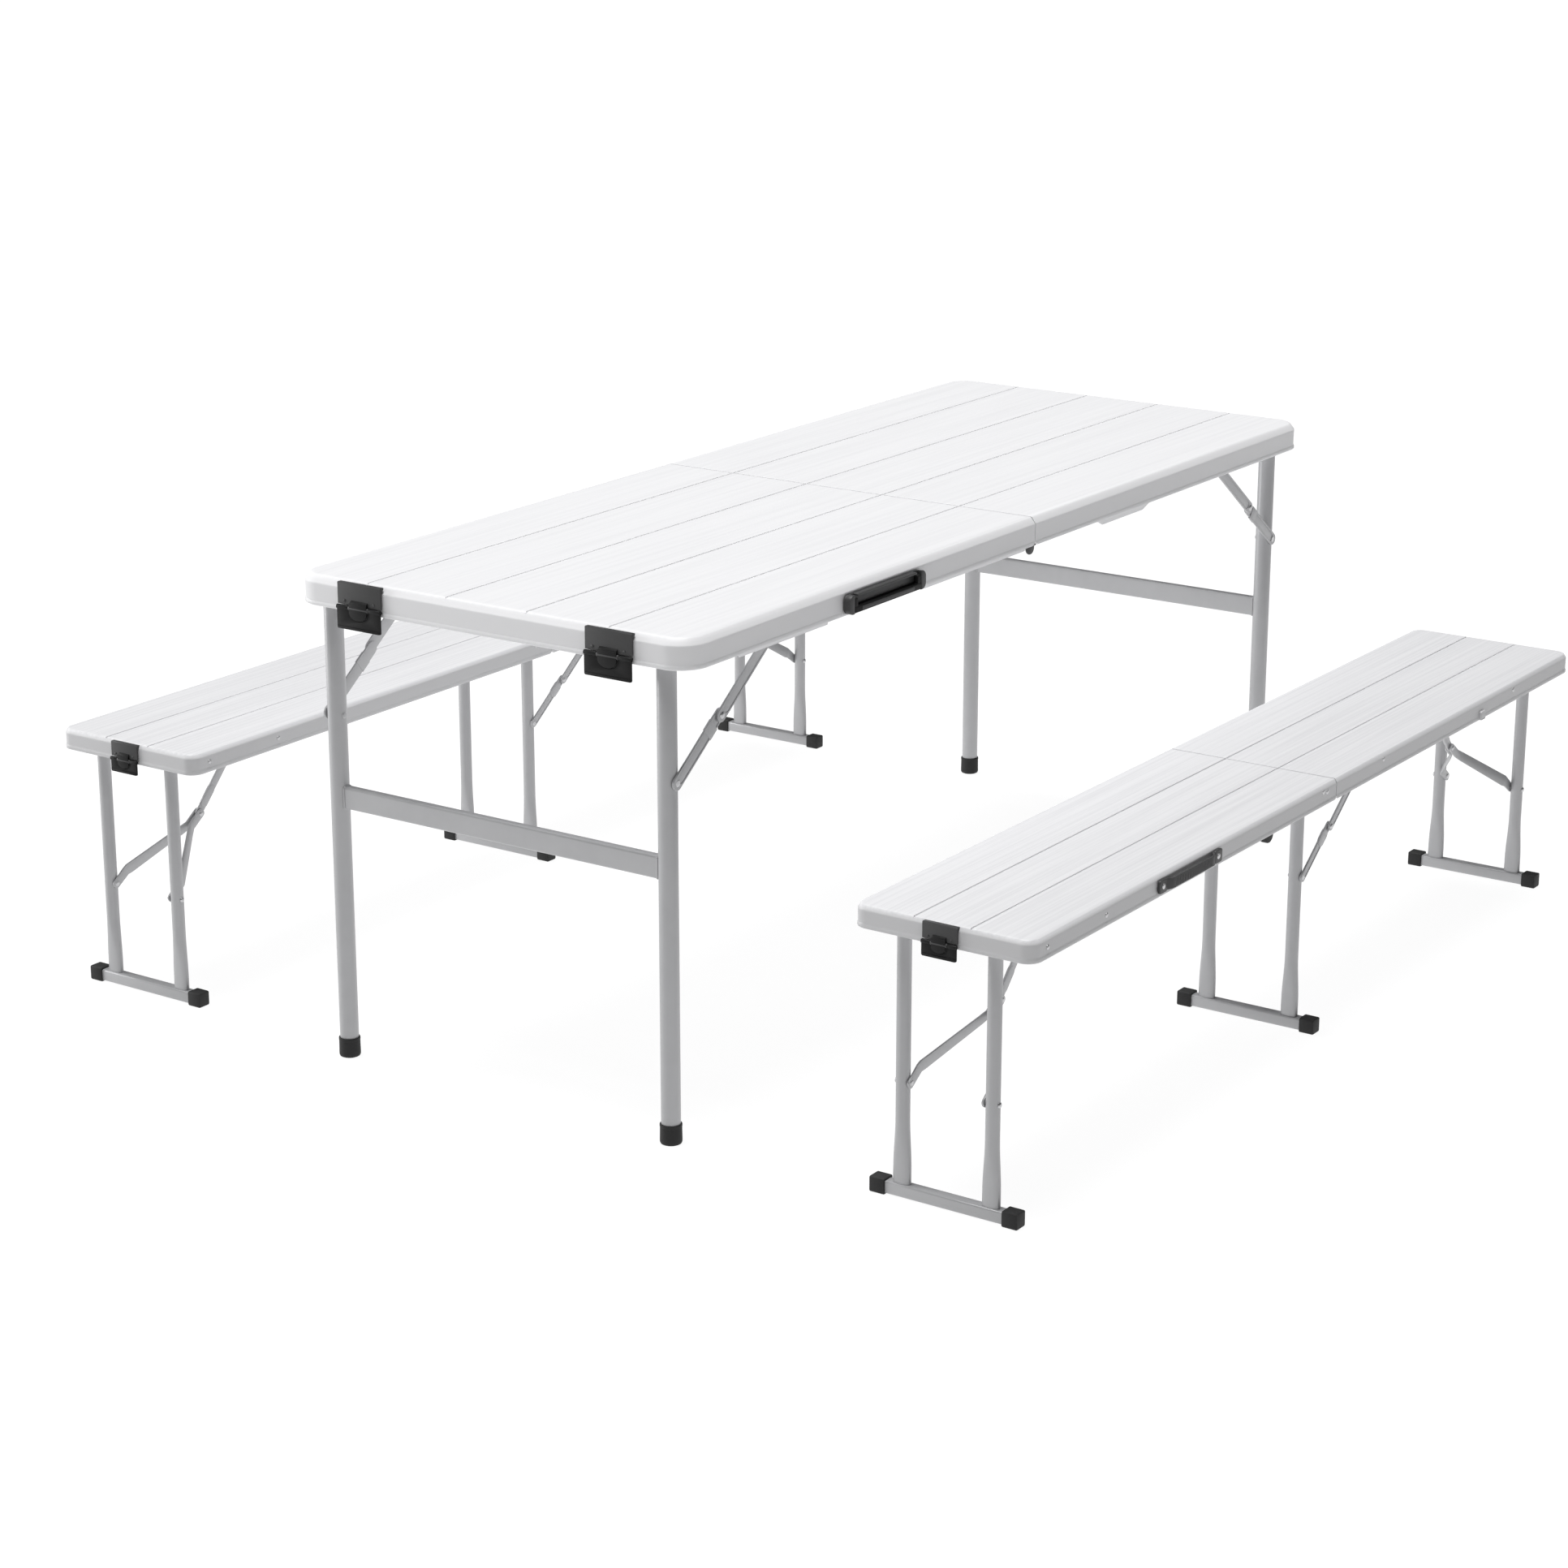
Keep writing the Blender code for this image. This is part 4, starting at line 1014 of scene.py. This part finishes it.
# Latches on the near ends: a fixed plate with a round tongue, and a flap notched to clear it.
tableLatch = dict(width=0.080, plate=0.0030, low=0.0335, barrel=0.0034, pin=0.0015, barrelHalf=0.0185,
                  flap=0.0315, thickness=0.0025, standoff=0.0045, topDrop=0.002, tongue=0.0160,
                  side=0.0058, deep=0.0112, screw=0.0024, screwY=0.027, gap=0.0011)
benchLatch = dict(width=0.054, plate=0.0028, low=0.0250, barrel=0.003, pin=0.0013, barrelHalf=0.013,
                  flap=0.0200, thickness=0.0022, standoff=0.0040, topDrop=0.002, tongue=0.0110,
                  side=0.0048, deep=0.0076, screw=0.0018, screwY=0.018, gap=0.0009)


def bowl(centre, top, half, deep, steps=20):
    return [(centre + half * math.cos(math.pi * i / steps), top - deep * math.sin(math.pi * i / steps))
            for i in range(steps + 1)]


def makeLatch(prefix, size, span, y, plateBody, flapBody):
    end = -span["length"] / 2
    x = end - size["standoff"]
    z = span["top"] - size["topDrop"] - size["low"] - size["barrel"] * 0.3
    half, top = size["width"] / 2, span["top"] - size["topDrop"]
    lip = z + 0.0035 + layerGap
    outerFace = end - clearance - size["plate"]
    tongue = size["tongue"]
    plate = Solid()
    # one section: the plate and the hook that hugs the sloped edge of the top
    section = [(outerFace, lip), (end - clearance, lip), (end - clearance, top - 0.0078),
               (end + 0.0042, top - 0.0012), (end + 0.0040, top + 0.0008),
               (outerFace + 0.0010, top + 0.0010), (outerFace, top - 0.0002)]
    plate.plate(section, "Y", y - half, y + half, 0.0007)
    # tongue in front of the flap's pin
    front = x - size["barrel"]
    outline = [(y + tongue, lip + 0.0035)] + bowl(y, z - size["side"], tongue, size["deep"])
    outline.append((y - tongue, lip + 0.0035))
    tip = Solid()
    tip.plate(outline, "X", front + 0.0002, front + 0.0016, 0.0005)
    ramp = [(outerFace + 0.0008, lip + 0.0075), (outerFace - 0.0006, lip + 0.0068),
            (front + 0.0018, lip + 0.0046), (front + 0.0009, lip + 0.0030),
            (front + 0.0009, lip - 0.0010), (outerFace + 0.0008, lip - 0.0010)]
    tip.plate(ramp, "Y", y - tongue + 0.0006, y + tongue - 0.0006, 0.0008)
    tip.finish(f"{prefix}_tongue", darkBlack, plateBody)
    # dark backing behind the notch, against the rim: painted shade for the gap round the tongue
    wide = tongue + 0.003
    outline = [(y + wide, lip + 0.004)] + bowl(y, z - size["side"], wide, size["deep"] + 0.003)
    outline.append((y - wide, lip + 0.004))
    plate.plate(outline, "X", end - clearance, end - clearance - 0.0018, 0.0004)
    plate.rod("Y", (x, z), size["barrel"], y - size["barrelHalf"], y + size["barrelHalf"], 0.0004)
    plate.rod("Y", (x, z), size["pin"], y - half + 0.001, y + half - 0.001, 0.0003)
    plate.finish(f"{prefix}_body", black, plateBody, [f"{prefix}_plate"])
    flap = Solid()
    notch = tongue + size["gap"]
    low, high = z - size["flap"], z - 0.0008
    steps = [(y + notch, high)] + bowl(y, z - size["side"], notch, size["deep"] + size["gap"])
    steps.append((y - notch, high))
    corner = 0.0022
    outline = ([(y - half, high)] + arc(y - half + corner, low + corner, corner, math.pi, 1.5 * math.pi, 4)
               + arc(y + half - corner, low + corner, corner, -math.pi / 2, 0.0, 4))
    outline += [(y + half, high)] + steps
    thick = size["thickness"] / 2
    flap.plate(outline, "X", x - thick, x + thick, 0.0005)
    for face in (-1, 1):
        start = y + face * (size["barrelHalf"] + 0.0005)
        stop = y + face * half
        flap.rod("Y", (x, z), size["barrel"], start, stop, 0.0005)
    # thick lower edge to pull on
    flap.plate(roundRect(x - thick - 0.0012, x + thick, low, low + 0.004, 0.0010, 3), "Y", y - half + 0.002,
               y + half - 0.002, 0.0005)
    flap.finish(f"{prefix}_lid", darkBlack, flapBody, [f"{prefix}_flap"])
    spots = [(outerFace, y + face * size["screwY"], lip + size["screw"] * 2.2) for face in (-1, 1)]
    rivets(f"{prefix}_screws", "X", spots, size["screw"], 0.0011, plateBody, black)


for face, word in hands:
    makeLatch(f"table_latch_{word}", tableLatch, tableSpan, face * keeperSize["y"], "table_near_half",
              f"table_latch_{word}")
for bench in benches:
    makeLatch(f"{bench}_latch", benchLatch, benchSpan(bench), benchY[bench], f"{bench}_near_half",
              f"{bench}_latch")
print("stage: hinges and latches made")


# Carrying handle of the table, and the strap handles of the benches.
handle = dict(x=-0.430, length=0.200, height=0.028, plate=0.003, lug=0.087, lugWidth=0.010,
              pin=0.002, gripDepth=0.008, gripHeight=0.011, arm=0.008, down=0.007, out=0.0075, over=0.002,
              corner=0.0095, bar=0.0775, bead=0.066)


def makeHandle():
    size = handle
    face = -tableSpan["width"] / 2 - clearance
    middle = tableSpan["top"] - tableTop["rim"] / 2 - 0.005
    low, high = middle - size["height"] / 2, middle + size["height"] / 2
    x, half = size["x"], size["length"] / 2
    axisY, axisZ = face - size["out"], high - size["down"]
    base = Solid()
    corner = size["corner"]
    base.plate(roundRect(x - half, x + half, low, high, corner, 8), "Y", face - size["plate"], face, 0.0010)
    front = axisY - 0.0042
    rounded = arc(0.0, low + corner, corner, -math.pi / 2, 0.0, 7)
    rounded += arc(0.0, high - corner, corner, 0.0, math.pi / 2, 7)
    for end in (-1, 1):
        # end blocks carry the pins and close the capsule outline
        outer = x + end * (half - 0.0003)
        middleX = outer - end * corner
        outline = [(x + end * size["lug"], low + 0.0002)]
        outline += [(middleX + end * a, b) for a, b in rounded]
        outline.append((x + end * size["lug"], high - 0.0002))
        base.plate(outline, "Y", face - 0.0004, front, 0.0012)
    base.plate(roundRect(x - size["bar"], x + size["bar"], high - 0.0031, high - 0.0003, 0.0012, 3), "Y",
               face - 0.0006, front + 0.0012, 0.0008)
    rim = roundRect(x - half + 0.0025, x + half - 0.0025, low + 0.0025, high - 0.0025, 0.0075, 8)
    base.plate(rim, "Y", face - size["plate"] - 0.0003, face - size["plate"] + 0.001, 0.0004)
    base.finish("table_handle_back_plate", black, "table_near_half", ["table_handle_base"])
    inner = size["lug"] - 0.0008
    near = face - size["plate"] - 0.0008
    grip = Solid()
    gripLow = low + 0.0005
    section = roundRect(near - size["gripDepth"], near, gripLow, gripLow + size["gripHeight"], 0.0032, 6)
    grip.plate(section, "X", x - inner, x + inner, 0.0012)
    for end in (-1, 1):
        arm = sorted((x + end * (inner - size["arm"]), x + end * (inner - 0.0005)))
        outline = roundRect(near - size["gripDepth"] + 0.0006, near - 0.0002, low + 0.002,
                            axisZ + size["over"], 0.0028, 5)
        grip.plate(outline, "X", arm[0], arm[1], 0.0008)
        grip.rod("X", (axisY, axisZ), size["pin"], x + end * (inner - 0.002),
                 x + end * (size["lug"] + size["lugWidth"] - 0.001), 0.0004)
    grip.finish("table_handle_swing_grip", darkBlack, "table_handle", ["table_handle_grip"])
    # long shallow bead along the front of the grip
    front = near - size["gripDepth"]
    height = gripLow + size["gripHeight"] / 2
    bead = Solid()
    bead.plate(stadium((x - size["bead"], height), (x + size["bead"], height), 0.0026), "Y", front - 0.0004,
               front + 0.0010, 0.0003)
    bead.finish("table_handle_bead", black, "table_handle")


strap = dict(x=-0.4555, length=0.179, height=0.019, thickness=0.0036, pad=0.022, lift=0.0055, ribs=22)


def makeStrap(bench, side):
    size = strap
    span = benchSpan(bench)
    face = span["width"] / 2 + clearance
    middle = span["top"] - benchTop["rim"] / 2
    half, pad, lift, thick = size["length"] / 2, size["pad"], size["lift"], size["thickness"]
    bend = pad + lift
    stations = []
    for i in range(33):
        run = -half + 0.0015 + (2 * half - 0.003) * i / 32
        inner = abs(run)
        if inner > half - pad:
            out = 0.0
        elif inner > half - bend - 0.004:
            out = lift * ease(min(1, (half - pad - inner) / (lift + 0.004)))
        else:
            out = lift
        narrow = 0.80 + 0.12 * ease(min(1, max(0, (inner - (half - bend - 0.006)) / 0.012)))
        stations.append((run, out, narrow))
    band = Solid()
    rings = []
    for run, out, narrow in stations:
        tall = size["height"] / 2 * narrow
        section = roundRect(side * (face + out), side * (face + out + thick), middle - tall, middle + tall,
                            0.0014, 3)
        rings.append([(size["x"] + run, span["y"] + a, b) for a, b in section])
    band.loft(rings)
    body = f"{bench}_near_half"
    band.finish(f"{bench}_strap_band", webbing, body, [f"{bench}_strap"])
    pads = Solid()
    for end in (-1, 1):
        x = sorted((size["x"] + end * (half - pad + 0.001), size["x"] + end * half))
        outline = roundRect(x[0], x[1], middle - size["height"] / 2, middle + size["height"] / 2, 0.0035, 5)
        pads.plate(outline, "Y", span["y"] + side * (face + 0.0005),
                   span["y"] + side * (face + thick + 0.0006), 0.0008)
    pads.finish(f"{bench}_strap_pads", black, body)
    heads = [(size["x"] + end * (half - pad / 2), span["y"] + side * (face + thick + 0.0004), middle)
             for end in (-1, 1)]
    rivets(f"{bench}_strap_rivets", "Y", heads, 0.0042, 0.0016, body)
    step = 2 * (half - bend - 0.012) / (size["ribs"] - 1)
    first = (size["x"] - half + bend + 0.012, span["y"] + side * (face + lift + thick), middle)
    ribs(f"{bench}_strap_ridges", [first],
         (0.0022, 0.0008, size["height"] * 0.56), (step, 0, 0), size["ribs"], webbing, body)


makeHandle()
makeStrap("front_bench", -1)
makeStrap("back_bench", 1)
print("stage: handles made")


# Floor, light and camera.
studio = dict(floor=110.0, floorShade=(0.10, 0.10, 0.101, 1), floorGlow=0.93, sky=0.05, overhead=3.55,
              overheadAngle=32, overheadAim=(0.03, -0.10, -1))


def makeFloor():
    floor = Solid()
    reach = studio["floor"] / 2
    floor.plate([(-reach, -reach), (reach, -reach), (reach, reach), (-reach, reach)], "Z", -0.02, -0.0003)
    obj = addObject("studio_floor", floor.mesh("studio_floor"))
    material, tree, shader = startMaterial("paleFloor", 0.9, 0.0)
    shader.inputs["Base Color"].default_value = studio["floorShade"]
    shader.inputs["Emission Color"].default_value = (1, 1, 1, 1)
    shader.inputs["Emission Strength"].default_value = studio["floorGlow"]
    obj.data.materials.append(material)


def makeLight(name, place, target, size, power):
    data = bpy.data.lights.new(name, "AREA")
    data.shape = "RECTANGLE"
    data.size, data.size_y = size
    data.energy = power
    obj = addObject(name, data)
    obj.location = place
    obj.rotation_euler = (Vector(target) - Vector(place)).to_track_quat("-Z", "Y").to_euler()


def makeOverhead():
    data = bpy.data.lights.new("overhead", "SUN")
    data.energy = studio["overhead"]
    data.angle = math.radians(studio["overheadAngle"])
    obj = addObject("overhead", data)
    obj.location = (0, 0, 6)
    obj.rotation_euler = Vector(studio["overheadAim"]).to_track_quat("-Z", "Y").to_euler()


view = dict(lens=82.2, place=(-4.5967, -3.0443, 1.9493), yaw=0.60212, pitch=-0.29899)


def makeCamera():
    data = bpy.data.cameras.new("camera")
    data.lens = view["lens"]
    data.sensor_width = 36.0
    obj = addObject("camera", data)
    obj.location = view["place"]
    yaw, pitch = view["yaw"], view["pitch"]
    forward = Vector((math.cos(pitch) * math.cos(yaw), math.cos(pitch) * math.sin(yaw), math.sin(pitch)))
    obj.rotation_euler = forward.to_track_quat("-Z", "Y").to_euler()
    data.clip_end = 100
    bpy.context.scene.camera = obj


def makeWorld():
    world = bpy.data.worlds.new("studio")
    world.use_nodes = True
    background = world.node_tree.nodes["Background"]
    background.inputs["Color"].default_value = (1, 1, 1, 1)
    background.inputs["Strength"].default_value = studio["sky"]
    bpy.context.scene.world = world


makeFloor()
makeWorld()
makeOverhead()
makeLight("leftSide", (-2.3, 5.1, 1.4), (0, 0, 0.4), (1.6, 2.4), 118)
makeCamera()
bpy.context.scene.view_settings.view_transform = "Standard"
print("stage: studio ready")
